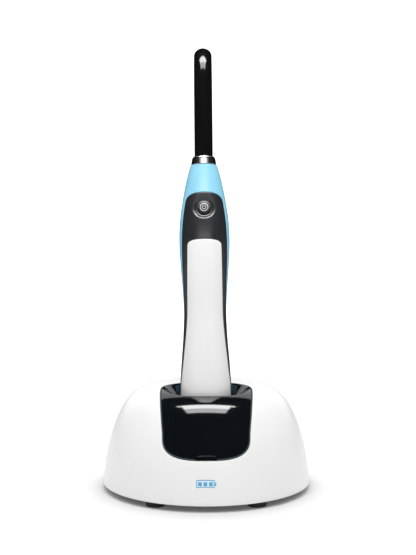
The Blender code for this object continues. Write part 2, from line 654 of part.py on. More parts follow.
def build_end_cap(hand):
    """Closes the foot of the case, with a plug inside it and two sunk charging pads."""
    plug = CASE_WALL + GAP
    steps = [(CAP_BOTTOM, 2.4 * MM), (CAP_BOTTOM + 0.3 * MM, 1.3 * MM), (CAP_BOTTOM + 1.0 * MM, 0.5 * MM),
             (SHELL_BOTTOM - GAP, 0.1 * MM), (SHELL_BOTTOM - GAP, plug), (SHELL_BOTTOM + 4 * MM, plug)]
    rings = []
    for height, inset in steps:
        rings.append(oval(through(HALF_WIDTH, height / MM) * MM - inset,
                          through(HALF_DEPTH, height / MM) * MM - inset, height, centre_y=0.0))
    cap = loft("end_cap", rings, GREY, hand)
    for side, x in (("left", -CONTACT_X), ("right", CONTACT_X)):
        well = turned(f"pad_well_{side}", [(0, 12 * MM), (1.1 * MM, 12 * MM), (1.1 * MM, 2.3 * MM),
                                           (3.0 * MM, 2.3 * MM), (3.0 * MM, -2 * MM), (0, -2 * MM)],
                      None, hand, (x, 0, CAP_BOTTOM), steps=16)
        combine(cap, well, "DIFFERENCE")
        turned(f"charge_pad_{side}", [(0, 8 * MM), (0.8 * MM, 8 * MM), (0.8 * MM, 2.0 * MM),
                                      (2.6 * MM, 2.0 * MM), (2.6 * MM, 1.4 * MM), (0, 1.4 * MM)],
               GOLD, hand, (x, 0, CAP_BOTTOM), steps=16)


# --- inside the handpiece ----------------------------------------------------------------------------

def build_power(hand, board_frame):
    """The cell lies in a tray at the foot of the chassis, whose spine carries the control board."""
    top = CELL_BOTTOM + CELL_LENGTH
    turned("battery_cell", [(0, top + 1.2 * MM), (3.2 * MM, top + 1.2 * MM), (3.2 * MM, top),
                            (CELL_RADIUS - 0.8 * MM, top), (CELL_RADIUS, top - 0.8 * MM),
                            (CELL_RADIUS, CELL_BOTTOM + 0.8 * MM), (CELL_RADIUS - 0.8 * MM, CELL_BOTTOM),
                            (0, CELL_BOTTOM)], CELL, hand, steps=24)
    inner, outer = CELL_RADIUS + GAP, CELL_RADIUS + GAP + 1.0 * MM
    chassis = turned("chassis", [(outer, 88 * MM), (outer, 28 * MM), (inner, 28 * MM), (inner, 88 * MM)],
                     FRAME, hand, closed=True, steps=24)
    front = box("tray_front", (40 * MM, 20 * MM, 200 * MM), None, hand, (0, -12.5 * MM, 60 * MM))
    combine(chassis, front, "DIFFERENCE")
    heel = box("spine_heel", (8 * MM, 0.9 * MM, 8 * MM), None, hand, (0, 9.85 * MM, 89.5 * MM))
    shelf = box("spine_shelf", (11 * MM, 13 * MM, 1.8 * MM), None, hand, (0, 3.2 * MM, 92.9 * MM))
    spine = box("spine", (13 * MM, 1.4 * MM, 69 * MM), None, board_frame, (0, 1.6 * MM, 1.5 * MM))
    for piece in (heel, shelf, spine):
        combine(chassis, piece, "UNION")
    return chassis


def build_board(frame, chassis):
    """The control board, screwed to the front of the chassis spine, with what is soldered to it."""
    board = box("control_board", (15 * MM, 1.2 * MM, 58 * MM), BOARD, frame)
    front = -0.9 * MM
    box("processor", (7 * MM, 1.0 * MM, 7 * MM), CHIP, frame, (0, front - 0.5 * MM, 10 * MM))
    box("led_driver", (5 * MM, 1.0 * MM, 4 * MM), CHIP, frame, (-3 * MM, front - 0.5 * MM, -6 * MM))
    box("driver_inductor", (7 * MM, 3.4 * MM, 7 * MM), CHIP, frame, (2.5 * MM, front - 1.7 * MM, -16 * MM),
        edge=0.8 * MM)
    cylinder("sounder", 4.0 * MM, 2.6 * MM, CHIP, frame, (-2 * MM, front - 1.3 * MM, 20 * MM),
             (math.pi / 2, 0, 0))
    for end, height in (("upper", 26.5 * MM), ("lower", -26.5 * MM)):
        at, turn = (5.2 * MM, -0.6 * MM, height), (math.pi / 2, 0, 0)
        turned(f"board_screw_{end}", [(0, 1.4 * MM), (1.7 * MM, 1.2 * MM), (1.7 * MM, 0.3 * MM),
                                      (0.9 * MM, 0.3 * MM), (0.9 * MM, -3.3 * MM), (0, -3.3 * MM)],
               STEEL, frame, at, turn, steps=16)
        hole = cylinder(f"board_hole_{end}", 1.2 * MM, 12 * MM, None, frame, at, turn, sides=12)
        combine(board, hole, "DIFFERENCE")
        combine(chassis, hole, "DIFFERENCE")


def build_light_engine(nose):
    """Heat sink, LED on its board, and the lens that gathers its light, stacked down the nose's axis."""
    boss_top = -19.0 * MM
    sink = cylinder("heat_sink", 6.3 * MM, 3 * MM, ALUMINIUM, nose, (0, 0, boss_top - 1.5 * MM), sides=32)
    bar = box("sink_bar", (11 * MM, 7 * MM, 38 * MM), None, nose, (0, 4.7 * MM, boss_top - 20.5 * MM))
    combine(sink, bar, "UNION")
    for number, x in enumerate((-3.2 * MM, 0.0, 3.2 * MM), 1):
        slot = box(f"sink_slot_{number}", (1.5 * MM, 6 * MM, 34 * MM), None, nose,
                   (x, 7.2 * MM, boss_top - 24 * MM))
        combine(sink, slot, "DIFFERENCE")
    cylinder("led_board", 6.0 * MM, 1.2 * MM, BOARD, nose, (0, 0, boss_top + 0.9 * MM), sides=32)
    box("led_emitter", (3.4 * MM, 3.4 * MM, 0.8 * MM), EMITTER, nose, (0, 0, boss_top + 2.2 * MM))
    turned("collector_lens", [(0, -12.5 * MM), (1.8 * MM, -12.8 * MM), (3.1 * MM, -13.7 * MM),
                              (3.8 * MM, -15.2 * MM), (4.6 * MM, -15.3 * MM), (4.6 * MM, -16.0 * MM),
                              (0, -16.0 * MM)], GLASS, nose, steps=24)


def build_guide_socket(nose):
    """A lined bore in the nose that grips the light guide's sleeve with a rubber ring."""
    turned("guide_socket", [(5.9 * MM, -0.3 * MM), (5.9 * MM, -5.5 * MM), (7.0 * MM, -7.2 * MM),
                            (7.0 * MM, -12.6 * MM), (5.3 * MM, -12.6 * MM), (5.3 * MM, -9.2 * MM),
                            (6.5 * MM, -9.2 * MM), (6.5 * MM, -7.4 * MM), (5.3 * MM, -7.4 * MM),
                            (5.3 * MM, -0.3 * MM)], ALUMINIUM, nose, closed=True, steps=28)
    ring = []
    for i in range(6):
        angle = -2 * math.pi * i / 6
        ring.append((5.75 * MM + 0.42 * MM * math.cos(angle), -8.3 * MM + 0.42 * MM * math.sin(angle)))
    turned("socket_o_ring", ring, RUBBER, nose, closed=True, steps=24)


def button_frame(hand, name):
    """On the button's axis: +Z out of the case, the origin on the case before the dish is sunk."""
    out = case_normal(0.0, BUTTON_STATION)
    return axis_empty(name, hand, case_point(0.0, BUTTON_STATION), (math.pi / 2 - math.asin(out.z), 0, 0))


def build_button(button):
    """The button's own Z is its axis, out of the case. The switch stands behind it on a small board."""
    turned("power_button", [(0, 0.35 * MM - BUTTON_SINK), (2.0 * MM, 0.26 * MM - BUTTON_SINK),
                            (3.5 * MM, 0.04 * MM - BUTTON_SINK), (BUTTON_RADIUS, -0.25 * MM - BUTTON_SINK),
                            (BUTTON_RADIUS, -3.2 * MM), (0, -3.2 * MM)], RUBBER, button, steps=24)
    cylinder("button_plunger", 1.4 * MM, 1.9 * MM, CHIP, button, (0, 0, -4.45 * MM), sides=16)
    box("tactile_switch", (6 * MM, 6 * MM, 2.4 * MM), CHIP, button, (0, 0, -7.5 * MM), edge=0.3 * MM)
    box("switch_board", (9 * MM, 9 * MM, 0.8 * MM), BOARD, button, (0, 0, -9.4 * MM))


# --- light guide -------------------------------------------------------------------------------------

def build_collar(nose):
    """Polished steel sleeve: a conical collar against the nose, and a stub that plugs into the socket."""
    turned("guide_collar", [(6.2 * MM, COLLAR_HEIGHT), (6.75 * MM, 4.5 * MM), (6.95 * MM, 3.8 * MM),
                            (7.5 * MM, GAP), (5.0 * MM, GAP), (5.0 * MM, 0.5 * MM - STUB_LENGTH),
                            (4.7 * MM, -STUB_LENGTH), (4.5 * MM, -STUB_LENGTH), (4.5 * MM, 3.0 * MM),
                            (5.7 * MM, 3.0 * MM), (5.7 * MM, COLLAR_HEIGHT)],
           CHROME, nose, closed=True, steps=28)


def guide_path(start, radius_of):
    """(centre, direction, radius) along the guide: straight, then bent back, then a short straight tip."""
    stops = [(Vector((0, 0, start)), Vector((0, 0, 1)), radius_of(0.0)),
             (Vector((0, 0, GUIDE_STRAIGHT_END)), Vector((0, 0, 1)), radius_of(0.0))]
    steps = 6
    for i in range(1, steps + 1):
        turn = GUIDE_BEND_ANGLE * i / steps
        centre = Vector((0, GUIDE_BEND_RADIUS * (1 - math.cos(turn)),
                         GUIDE_STRAIGHT_END + GUIDE_BEND_RADIUS * math.sin(turn)))
        stops.append((centre, Vector((0, math.sin(turn), math.cos(turn))), radius_of(i / steps)))
    centre, direction, radius = stops[-1]
    stops.append((centre + GUIDE_TIP_LENGTH * direction, direction, radius))
    return stops


def swept(name, stops, finish, parent, bore=None, count=20):
    """A round rod along the stops, or a pipe where bore gives its inside as more stops."""
    def ring_points(stop):
        centre, direction, radius = stop
        side = direction.cross(Vector((1, 0, 0)))
        turns = [2 * math.pi * i / count for i in range(count)]
        return [centre + radius * (math.cos(t) * Vector((1, 0, 0)) + math.sin(t) * side) for t in turns]

    def build(bm):
        rings = [[bm.verts.new(p) for p in ring_points(s)] for s in stops]
        if bore:
            rings += [[bm.verts.new(p) for p in ring_points(s)] for s in reversed(bore)]
            rings.append(rings[0])
        for low, high in zip(rings, rings[1:]):
            for i in range(count):
                j = (i + 1) % count
                bm.faces.new((low[i], low[j], high[j], high[i]))
        if not bore:
            bm.faces.new(rings[0])
            bm.faces.new(rings[-1])
        bmesh.ops.recalc_face_normals(bm, faces=bm.faces)

    return place(name, mesh_of(name, build), finish, parent)


def build_light_guide(nose):
    def outside(share):
        return GUIDE_RADIUS + share * (GUIDE_TIP_RADIUS - GUIDE_RADIUS)

    def bore(share):
        return outside(share) - JACKET_WALL

    def rod(share):
        return outside(share) - JACKET_WALL - GAP

    swept("guide_jacket", guide_path(3.3 * MM, outside), BLACK, nose, bore=guide_path(3.3 * MM, bore))
    rod_stops = guide_path(0.3 * MM - STUB_LENGTH, rod)
    centre, direction, radius = rod_stops[-1]
    rod_stops[-1] = (centre - 0.2 * MM * direction, direction, radius)
    swept("guide_rod", rod_stops, GLASS, nose)


# --- everything together -----------------------------------------------------------------------------

def shade():
    """Bakes each part's modifiers and shades its round faces smooth, with its edges kept sharp."""
    bpy.context.view_layer.update()
    graph = bpy.context.evaluated_depsgraph_get()
    for obj in parts.objects:
        if obj.type != "MESH":
            continue
        mesh = bpy.data.meshes.new_from_object(obj.evaluated_get(graph))
        mesh.shade_smooth()
        mesh.set_sharp_from_angle(angle=math.radians(32))
        obj["baked"] = mesh.name
    for obj in parts.objects:
        if obj.type == "MESH":
            obj.data = bpy.data.meshes[obj["baked"]]
            del obj["baked"]
            obj.modifiers.clear()


def build():
    clear_scene()
    outer, inner = dome_lines()
    build_base_shell(outer, inner)
    build_cradle(outer, inner)
    build_status_window(outer, inner)
    build_base_plate()
    build_base_fasteners()
    build_base_electronics()
    build_contacts()

    hand = axis_empty("handpiece_axis", None, (HAND_X, HAND_Y, 0), (0, HAND_LEAN, 0))
    build_case(hand)
    build_end_cap(hand)
    board_frame = axis_empty("board_axis", hand, centre_at(BOARD_STATION) + Vector((0, -3.2 * MM, 0)),
                             (-BOARD_LEAN, 0, 0))
    build_board(board_frame, build_power(hand, board_frame))
    nose = axis_empty("nose_axis", hand, centre_at(NOSE_END), (-NOSE_LEAN, 0, 0))
    build_light_engine(nose)
    build_guide_socket(nose)
    build_collar(nose)
    build_light_guide(nose)
    build_button(button_frame(hand, "button_axis"))
    shade()


build()
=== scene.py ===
"""Looks of the cordless curing light in its charging base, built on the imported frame.

The surfaces repeat the solids' own design curves at a finer step: the case of the handpiece, the dome of
the base, the cup, and the light guide. Lengths named in millimetres are turned to metres by MM.
"""
import math

import bmesh
import bpy
import numpy as np
from mathutils import Matrix, Vector
from mathutils.geometry import delaunay_2d_cdt


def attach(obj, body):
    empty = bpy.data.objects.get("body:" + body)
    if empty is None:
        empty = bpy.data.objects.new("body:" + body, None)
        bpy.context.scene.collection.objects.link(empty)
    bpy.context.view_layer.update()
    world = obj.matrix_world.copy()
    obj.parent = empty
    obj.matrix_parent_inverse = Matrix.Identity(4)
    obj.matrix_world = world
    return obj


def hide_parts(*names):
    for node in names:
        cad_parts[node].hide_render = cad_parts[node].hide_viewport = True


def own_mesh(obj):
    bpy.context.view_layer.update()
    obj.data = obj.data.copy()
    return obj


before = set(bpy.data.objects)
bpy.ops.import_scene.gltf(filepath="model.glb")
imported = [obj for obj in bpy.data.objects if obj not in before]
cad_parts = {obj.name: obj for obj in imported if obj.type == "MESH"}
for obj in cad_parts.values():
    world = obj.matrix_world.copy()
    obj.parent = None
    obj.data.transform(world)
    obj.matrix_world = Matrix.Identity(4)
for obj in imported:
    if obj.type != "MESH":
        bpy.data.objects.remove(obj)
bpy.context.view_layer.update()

MM = 0.001
TURN = 2 * math.pi

# --- design curves, as in the solids -------------------------------------------------------------------

DOME_PROFILE = [(0.0, 62.6), (20.0, 62.4), (33.0, 61.4), (40.6, 58.9), (46.8, 54.0), (51.6, 46.8),
                (56.4, 35.4), (59.7, 23.0), (61.4, 12.0), (62.5, 3.6)]
FOOT_HEIGHT, FOOT_RADIUS = 3.6 * MM, 5.4 * MM
FOOT_X, FOOT_Y = 28.3 * MM, 47.0 * MM
HAND_X, HAND_Y = 0.35 * MM, -21.0 * MM
HAND_LEAN = math.radians(-0.55)
SQUARENESS = 2.3
CRADLE_HALF_WIDTH, CRADLE_BACK = 26.7 * MM, 19.3 * MM
CRADLE_BOTTOM, CRADLE_CORNER_Z, CRADLE_CORNER_HALF_WIDTH = 27.5 * MM, 40.1 * MM, 24.5 * MM
WINDOW_HALF_WIDTH, WINDOW_TOP = 4.8 * MM, 29.5 * MM
CUP_SPACE = [(14.3, 14.4, 13.4), (36.0, 15.9, 14.7), (50.0, 17.9, 15.8), (57.0, 20.8, 16.8),
             (60.0, 23.3, 17.3), (62.0, 25.0, 18.0)]
CUP_FLOOR = 14.3 * MM
HALF_WIDTH = [(14.0, 13.4), (30.0, 14.3), (58.0, 15.0), (68.0, 14.7), (78.0, 14.0), (92.0, 12.9),
              (106.0, 12.4), (120.0, 13.1), (134.0, 14.1), (148.0, 14.75), (160.0, 14.2),
              (172.0, 12.5), (183.0, 10.35), (191.9, 7.95)]
HALF_DEPTH = [(14.0, 12.5), (30.0, 13.2), (58.0, 14.0), (78.0, 13.2), (92.0, 12.5), (106.0, 12.2),
              (120.0, 12.9), (134.0, 13.8), (148.0, 14.4), (158.0, 13.7), (166.0, 12.3),
              (174.0, 10.8), (184.0, 9.4), (191.9, 7.8)]
GRIP_EDGE = [(16.0, 76.0), (58.0, 74.0), (66.0, 71.0), (75.0, 65.6), (85.0, 62.2), (99.0, 56.4),
             (113.0, 51.8), (131.0, 45.1), (150.0, 39.5)]
PANEL_EDGE = [(16.0, 97.0), (58.0, 96.0), (78.0, 94.0), (92.0, 90.0), (99.0, 85.0), (106.0, 79.0),
              (113.0, 73.5), (120.0, 69.8), (134.0, 64.3), (148.0, 60.3), (160.0, 59.0),
              (172.0, 58.0), (180.0, 56.0)]
GRIP_TOP, GRIP_CORNER = 148.1 * MM, 3.6 * MM
PANEL_TOP, PANEL_CORNER = 175.1 * MM, 6.0 * MM
SHELL_BOTTOM, CAP_BOTTOM, NOSE_END = 17.0 * MM, 14.6 * MM, 191.9 * MM
BEND_START = 60.0 * MM
NOSE_LEAN = math.radians(5.0)
BEND = math.tan(NOSE_LEAN) / (2 * (NOSE_END - BEND_START))
CASE_WALL = 1.2 * MM
FLAT_RADIUS = 12.8 * MM
BUTTON_STATION, BUTTON_RADIUS, BUTTON_SINK = 166.4 * MM, 4.0 * MM, 0.8 * MM
DISH_FLOOR_RADIUS, DISH_RADIUS, DISH_DEPTH = 4.6 * MM, 6.8 * MM, 1.4 * MM
GUIDE_RADIUS, GUIDE_TIP_RADIUS, JACKET_WALL = 5.4 * MM, 5.35 * MM, 0.9 * MM
GUIDE_STRAIGHT_END, GUIDE_BEND_RADIUS = 46.2 * MM, 33.0 * MM
GUIDE_BEND_ANGLE, GUIDE_TIP_LENGTH = math.radians(42.0), 1.0 * MM
COLLAR_HEIGHT, STUB_LENGTH = 5.3 * MM, 12.0 * MM
CONTACT_X = 6.0 * MM
PIN_TOP = CUP_FLOOR + 1.4 * MM
SPRING_LOW, SPRING_HEIGHT = 7.5 * MM, 2.3 * MM

POWER_INLET_RADIUS, POWER_INLET_HEIGHT = 5.5 * MM, 18.5 * MM
COIL_RADIUS, COIL_WIRE_RADIUS, COIL_TURNS = 1.25 * MM, 0.14 * MM, 4

# Lines between the visible pieces.
SEAM = 0.2 * MM

# Printed signs: the roll of their edges and their depth.
PRINT_ROLL, PRINT_DEPTH = 0.005 * MM, 0.015 * MM

# The button's top: how far its middle stands up, and how fast it falls away from there.
BUTTON_CROWN, BUTTON_FALL = 0.35 * MM, 23.0

# Sizes of the clouds in a finish's colour, of its worn patches and of its uneven gloss.
CLOUD_SIZE, PATCH_SIZE, GLOSS_SIZE = 22 * MM, 1.5 * MM, 6 * MM

# Strength of the even light all round.
AROUND = 0.46

# The floor: its tone, and how its glow fades near whatever stands on it, a painted contact shadow.
PAPER_TONE = 0.475
SHADOW_REACH, SHADOW_POWER = 22 * MM, 2.0
GLOW_SHARE, LEAST_GLOW = 0.33, 0.07

# The camera: where it stands, how far it looks down, and its lens.
CAMERA_PLACE = (1.0 * MM, -544.74 * MM, 137.69 * MM)
CAMERA_DIP = 0.0213
SENSOR_HEIGHT, LENS = 24, 38.82


def through(stations, at):
    places = [p for p, _ in stations]
    at = min(max(at, places[0]), places[-1])
    i = max(k for k in range(len(places) - 1) if places[k] <= at)

    def slope(k):
        low, high = max(k - 1, 0), min(k + 1, len(stations) - 1)
        return (stations[high][1] - stations[low][1]) / (places[high] - places[low])

    span = places[i + 1] - places[i]
    t = (at - places[i]) / span
    return (stations[i][1] * (2 * t**3 - 3 * t**2 + 1) + span * slope(i) * (t**3 - 2 * t**2 + t)
            + stations[i + 1][1] * (3 * t**2 - 2 * t**3) + span * slope(i + 1) * (t**3 - t**2))


def corner_arc(steps, power):
    angles = [i / steps * math.pi / 2 for i in range(steps + 1)]
    return [(math.cos(a) ** (2 / power), math.sin(a) ** (2 / power)) for a in angles]


def oval_reach(angle, half_width, half_depth):
    across = abs(math.sin(angle)) / half_width
    deep = abs(math.cos(angle)) / half_depth
    return (across**SQUARENESS + deep**SQUARENESS) ** (-1 / SQUARENESS)


def oval_point(angle, half_width, half_depth, centre_y=HAND_Y):
    reach = oval_reach(angle, half_width, half_depth)
    return reach * math.sin(angle), centre_y - reach * math.cos(angle)


def centre_at(station):
    return Vector((0, BEND * max(station - BEND_START, 0.0) ** 2, station))


def case_point(angle, station):
    reach = oval_reach(angle, through(HALF_WIDTH, station / MM) * MM, through(HALF_DEPTH, station / MM) * MM)
    lean = math.atan(2 * BEND * max(station - BEND_START, 0.0))
    back = Vector((0, math.cos(lean), -math.sin(lean)))
    return centre_at(station) + Vector((reach * math.sin(angle), 0, 0)) - reach * math.cos(angle) * back


def dish_depth(angle, station):
    away = math.hypot(angle * FLAT_RADIUS, station - BUTTON_STATION)
    rise = min(max((away - DISH_FLOOR_RADIUS) / (DISH_RADIUS - DISH_FLOOR_RADIUS), 0.0), 1.0)
    return DISH_DEPTH * (1 - rise * rise * (3 - 2 * rise))


def case_normal(angle, station):
    step = 0.5 * MM
    across = case_point(angle + 0.02, station) - case_point(angle - 0.02, station)
    along = case_point(angle, station + step) - case_point(angle, station - step)
    return across.cross(along).normalized()


def case_surface(x, y):
    """The case, dish included, over a flat (angle x FLAT_RADIUS, station)."""
    angle, station = x / FLAT_RADIUS, y
    normal = case_normal(angle, station)
    return case_point(angle, station) - dish_depth(angle, station) * normal, normal


HAND = Matrix.Translation((HAND_X, HAND_Y, 0)) @ Matrix.Rotation(HAND_LEAN, 4, "Y")
NOSE = HAND @ Matrix.Translation(centre_at(NOSE_END)) @ Matrix.Rotation(-NOSE_LEAN, 4, "X")
BUTTON_TILT = math.pi / 2 - math.asin(case_normal(0.0, BUTTON_STATION).z)
BUTTON = (HAND @ Matrix.Translation(case_point(0.0, BUTTON_STATION)) @ Matrix.Rotation(BUTTON_TILT, 4, "X"))


def catmull(points, per_span):
    line = []
    for i in range(len(points) - 1):
        a, b, c, d = (np.array(points[min(max(k, 0), len(points) - 1)]) for k in range(i - 1, i + 3))
        for step in range(per_span):
            t = step / per_span
            line.append(0.5 * (2 * b + (c - a) * t + (2 * a - 5 * b + 4 * c - d) * t**2
                               + (3 * b - a - 3 * c + d) * t**3))
    return np.array(line + [np.array(points[-1])])


DOME_LINE = catmull(DOME_PROFILE, 24) * MM
DOME_LENGTH = np.concatenate([[0], np.cumsum(np.hypot(*np.diff(DOME_LINE, axis=0).T))])


def dome_height(radius):
    return float(np.interp(radius, DOME_LINE[:, 0], DOME_LINE[:, 1]))


def dome_radius(height):
    return float(np.interp(-height, -DOME_LINE[:, 1], DOME_LINE[:, 0]))


def dome_surface(x, y):
    """The dome over a flat map that keeps distances from its top."""
    length = math.hypot(x, y)
    way = (x / length, y / length) if length else (0.0, -1.0)
    low, high = max(length - 0.4 * MM, 0), min(length + 0.4 * MM, DOME_LENGTH[-1])
    (r0, r1, radius), (z0, z1, height) = (np.interp((low, high, length), DOME_LENGTH, DOME_LINE[:, k])
                                          for k in (0, 1))
    normal = Vector(((z0 - z1) * way[0], (z0 - z1) * way[1], r1 - r0)).normalized()
    return Vector((radius * way[0], radius * way[1], height)), normal


def dome_flat(x, y):
    """Where the point of the dome above (x, y) lies on the flat map."""
    radius = math.hypot(x, y)
    scale = float(np.interp(radius, DOME_LINE[:, 0], DOME_LENGTH)) / radius if radius else 1.0
    return x * scale, y * scale


def dome_front(x, z):
    """The same, for the point of the dome's front seen at (x, z)."""
    return dome_flat(x, -math.sqrt(dome_radius(z) ** 2 - x**2))


# --- mesh tools ----------------------------------------------------------------------------------------

def shown(name, mesh, finish, body, node, matrix=Matrix.Identity(4), sharp=50):
    """Adds a piece at its place, shaded smooth, riding on its body and standing for its node."""
    if sharp:
        mesh.shade_smooth()
        mesh.set_sharp_from_angle(angle=math.radians(sharp))
    mesh.transform(matrix)
    obj = bpy.data.objects.new(name, mesh)
    bpy.context.scene.collection.objects.link(obj)
    mesh.materials.append(finish)
    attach(obj, body)
    if node:
        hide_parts(node)
    return obj


def as_mesh(bm, name):
    mesh = bpy.data.meshes.new(name)
    bm.to_mesh(mesh)
    bm.free()
    return mesh


def circle(radius, count, centre=(0.0, 0.0)):
    return [(centre[0] + radius * math.cos(TURN * i / count), centre[1] + radius * math.sin(TURN * i / count))
            for i in range(count)]


def inside(points, loop):
    a, b = loop, np.roll(loop, -1, axis=0)
    x, y = points[:, :1], points[:, 1:]
    with np.errstate(divide="ignore", invalid="ignore"):
        cross = x < a[:, 0] + (b[:, 0] - a[:, 0]) * (y - a[:, 1]) / (b[:, 1] - a[:, 1])
    return (((a[:, 1] > y) != (b[:, 1] > y)) & cross).sum(axis=1) % 2 == 1


def apart(points, loop):
    """Each point's distance from a closed loop's nearest side."""
    a, run = loop, np.roll(loop, -1, axis=0) - loop
    share = ((points[:, None] - a) * run).sum(-1) / np.maximum((run**2).sum(-1), 1e-18)
    nearest = a + run * np.clip(share, 0, 1)[..., None]
    return np.linalg.norm(points[:, None] - nearest, axis=-1).min(axis=1)


def even_steps(loop, step):
    """The loop with its long sides divided, its own points kept."""
    made = []
    for a, b in zip(loop, loop[1:] + loop[:1]):
        a, b = np.array(a), np.array(b)
        count = max(1, math.ceil(np.linalg.norm(b - a) / step))
        made += [a + (b - a) * i / count for i in range(count)]
    return np.array(made)


def turned_way(loop, way):
    a, b = loop, np.roll(loop, -1, axis=0)
    area = (a[:, 0] * b[:, 1] - b[:, 0] * a[:, 1]).sum()
    return loop if area * way > 0 else loop[::-1]


def skin(surface, loops, spacing, roll, wall, extra=(), seam_at=None, deeper=None):
    """A mesh over the flat loops, laid on a surface. Each edge rolls over and goes a wall's depth in.

    The first loop is the outline and the rest are holes. seam_at is the flat |x| where two sides of the
    outline meet, and deeper(bm, hole, corners) closes the last hole in place of its roll.
    """
    loops = [turned_way(even_steps(list(loop), spacing), 1 if i == 0 else -1) for i, loop in enumerate(loops)]
    low, high = loops[0].min(axis=0), loops[0].max(axis=0)
    rows = []
    for j, y in enumerate(np.arange(low[1] + 0.5 * spacing, high[1], spacing * 0.866)):
        xs = np.arange(low[0] + (0.5 if j % 2 else 0.25) * spacing, high[0], spacing)
        rows.append(np.stack([xs, np.full_like(xs, y)], axis=1))
    grid = np.concatenate(rows)
    grid = grid[inside(grid, loops[0])]
    for loop in loops:
        grid = grid[apart(grid, loop) > 0.5 * spacing]
    for hole in loops[1:]:
        grid = grid[~inside(grid, hole)]
    if len(extra):
        extra = np.array(extra)
        grid = grid[np.linalg.norm(grid[:, None] - extra, axis=-1).min(axis=1) > 0.6 * spacing]
        grid = np.concatenate([grid, extra])
    points = np.concatenate([*loops, grid]) / MM
    edges, start, spans = [], 0, []
    for loop in loops:
        spans.append(range(start, start + len(loop)))
        edges += [(start + i, start + (i + 1) % len(loop)) for i in range(len(loop))]
        start += len(loop)
    found, _, faces, origin = delaunay_2d_cdt([Vector(p) for p in points], edges, [], 0, 1e-5)[:4]
    flat = np.array([(p.x, p.y) for p in found]) * MM
    middles = np.array([flat[list(face)].mean(axis=0) for face in faces])
    keep = inside(middles, loops[0])
    for hole in loops[1:]:
        keep &= ~inside(middles, hole)
    placed = {source: i for i, sources in enumerate(origin) for source in sources}

    bm = bmesh.new()
    laid = [surface(x, y) for x, y in flat.tolist()]
    corners = [bm.verts.new(p) for p, _ in laid]
    for face in np.array(faces, dtype=object)[keep]:
        bm.faces.new([corners[i] for i in face])
    for number, span in enumerate(spans):
        ids = [placed[i] for i in span]
        if deeper and number == len(spans) - 1:
            deeper(bm, [corners[i] for i in ids])
            continue
        on_seam = [seam_at is not None and abs(abs(flat[i][0]) - seam_at) < 1e-6 for i in ids]
        rings = roll_edge(bm, [corners[i] for i in ids], [laid[i] for i in ids], on_seam, roll, wall)
        stitch(bm, rings, on_seam)
    bmesh.ops.delete(bm, geom=[v for v in bm.verts if not v.link_faces], context="VERTS")
    bmesh.ops.remove_doubles(bm, verts=bm.verts, dist=0.002 * MM)
    return as_mesh(bm, "skin")


def stitch(bm, rings, on_seam=None):
    """Faces from each ring of corners to the next, except along a seam."""
    count = len(rings[0])
    for upper, lower in zip(rings, rings[1:]):
        for k in range(count):
            n = (k + 1) % count
            if not (on_seam and on_seam[k] and on_seam[n]):
                bm.faces.new((upper[n], upper[k], lower[k], lower[n]))


def roll_edge(bm, corners, laid, on_seam, roll, wall):
    """Draws a loop of corners in by the roll's radius and adds the rings that carry it over and down."""
    count = len(corners)
    outs = []
    for k, (place, normal) in enumerate(laid):
        before, after = (k - 1) % count, (k + 1) % count
        start = laid[k][0] if on_seam[k] and on_seam[before] else laid[before][0]
        end = laid[k][0] if on_seam[k] and on_seam[after] else laid[after][0]
        outs.append((end - start).cross(normal).normalized())
    rings = [corners]
    for turn in (22.5, 45.0, 67.5, 90.0):
        turn = math.radians(turn)
        rings.append([bm.verts.new(place + roll * (math.sin(turn) - 1) * out
                                   + roll * (math.cos(turn) - 1) * normal)
                      for (place, normal), out in zip(laid, outs)])
    rings.append([bm.verts.new(place - wall * normal) for place, normal in laid])
    for k, (corner, out) in enumerate(zip(corners, outs)):
        if not (on_seam[k] and on_seam[(k - 1) % count] and on_seam[(k + 1) % count]):
            corner.co -= roll * out
    return rings


def filleted(profile, steps=4):
    """(x, y, radius) corners turned to a line with round corners."""
    line = []
    for k, (x, y, radius) in enumerate(profile):
        here = np.array((x, y))
        if not radius or k in (0, len(profile) - 1):
            line.append(here)
            continue
        ways = [np.array(profile[n][:2]) - here for n in (k - 1, k + 1)]
        sizes = [np.linalg.norm(way) for way in ways]
        reach = min(radius, 0.45 * min(sizes))
        first, last = (here + way / size * reach for way, size in zip(ways, sizes))
        for i in range(steps + 1):
            t = i / steps
            line.append((1 - t) ** 2 * first + 2 * t * (1 - t) * here + t**2 * last)
    return line


def lathe(profile, steps=96, closed=False):
    """Turns a filleted (radius, height, fillet) profile, in millimetres, about Z."""
    line = filleted(profile) if not closed else filleted([*profile, profile[0]])[:-1]
    bm = bmesh.new()
    verts = [bm.verts.new((max(x, 0) * MM, 0, y * MM)) for x, y in line]
    edges = [bm.edges.new(pair) for pair in zip(verts, verts[1:])]
    if closed:
        edges.append(bm.edges.new((verts[-1], verts[0])))
    bmesh.ops.spin(bm, geom=verts + edges, axis=(0, 0, 1), cent=(0, 0, 0), steps=steps, angle=TURN)
    bmesh.ops.remove_doubles(bm, verts=bm.verts, dist=0.001 * MM)
    bmesh.ops.recalc_face_normals(bm, faces=bm.faces)
    return as_mesh(bm, "turned")


def rings_mesh(rings, cap_first=False, cap_last=False):
    """Skins rings of points, in order."""
    bm = bmesh.new()
    made = [[bm.verts.new(p) for p in ring] for ring in rings]
    count = len(rings[0])
    for low, high in zip(made, made[1:]):
        for i in range(count):
            j = (i + 1) % count
            bm.faces.new((low[i], low[j], high[j], high[i]))
    if cap_first:
        bm.faces.new(made[0][::-1])
    if cap_last:
        bm.faces.new(made[-1])
    bmesh.ops.recalc_face_normals(bm, faces=bm.faces)
    return as_mesh(bm, "rings")


# --- finishes ------------------------------------------------------------------------------------------

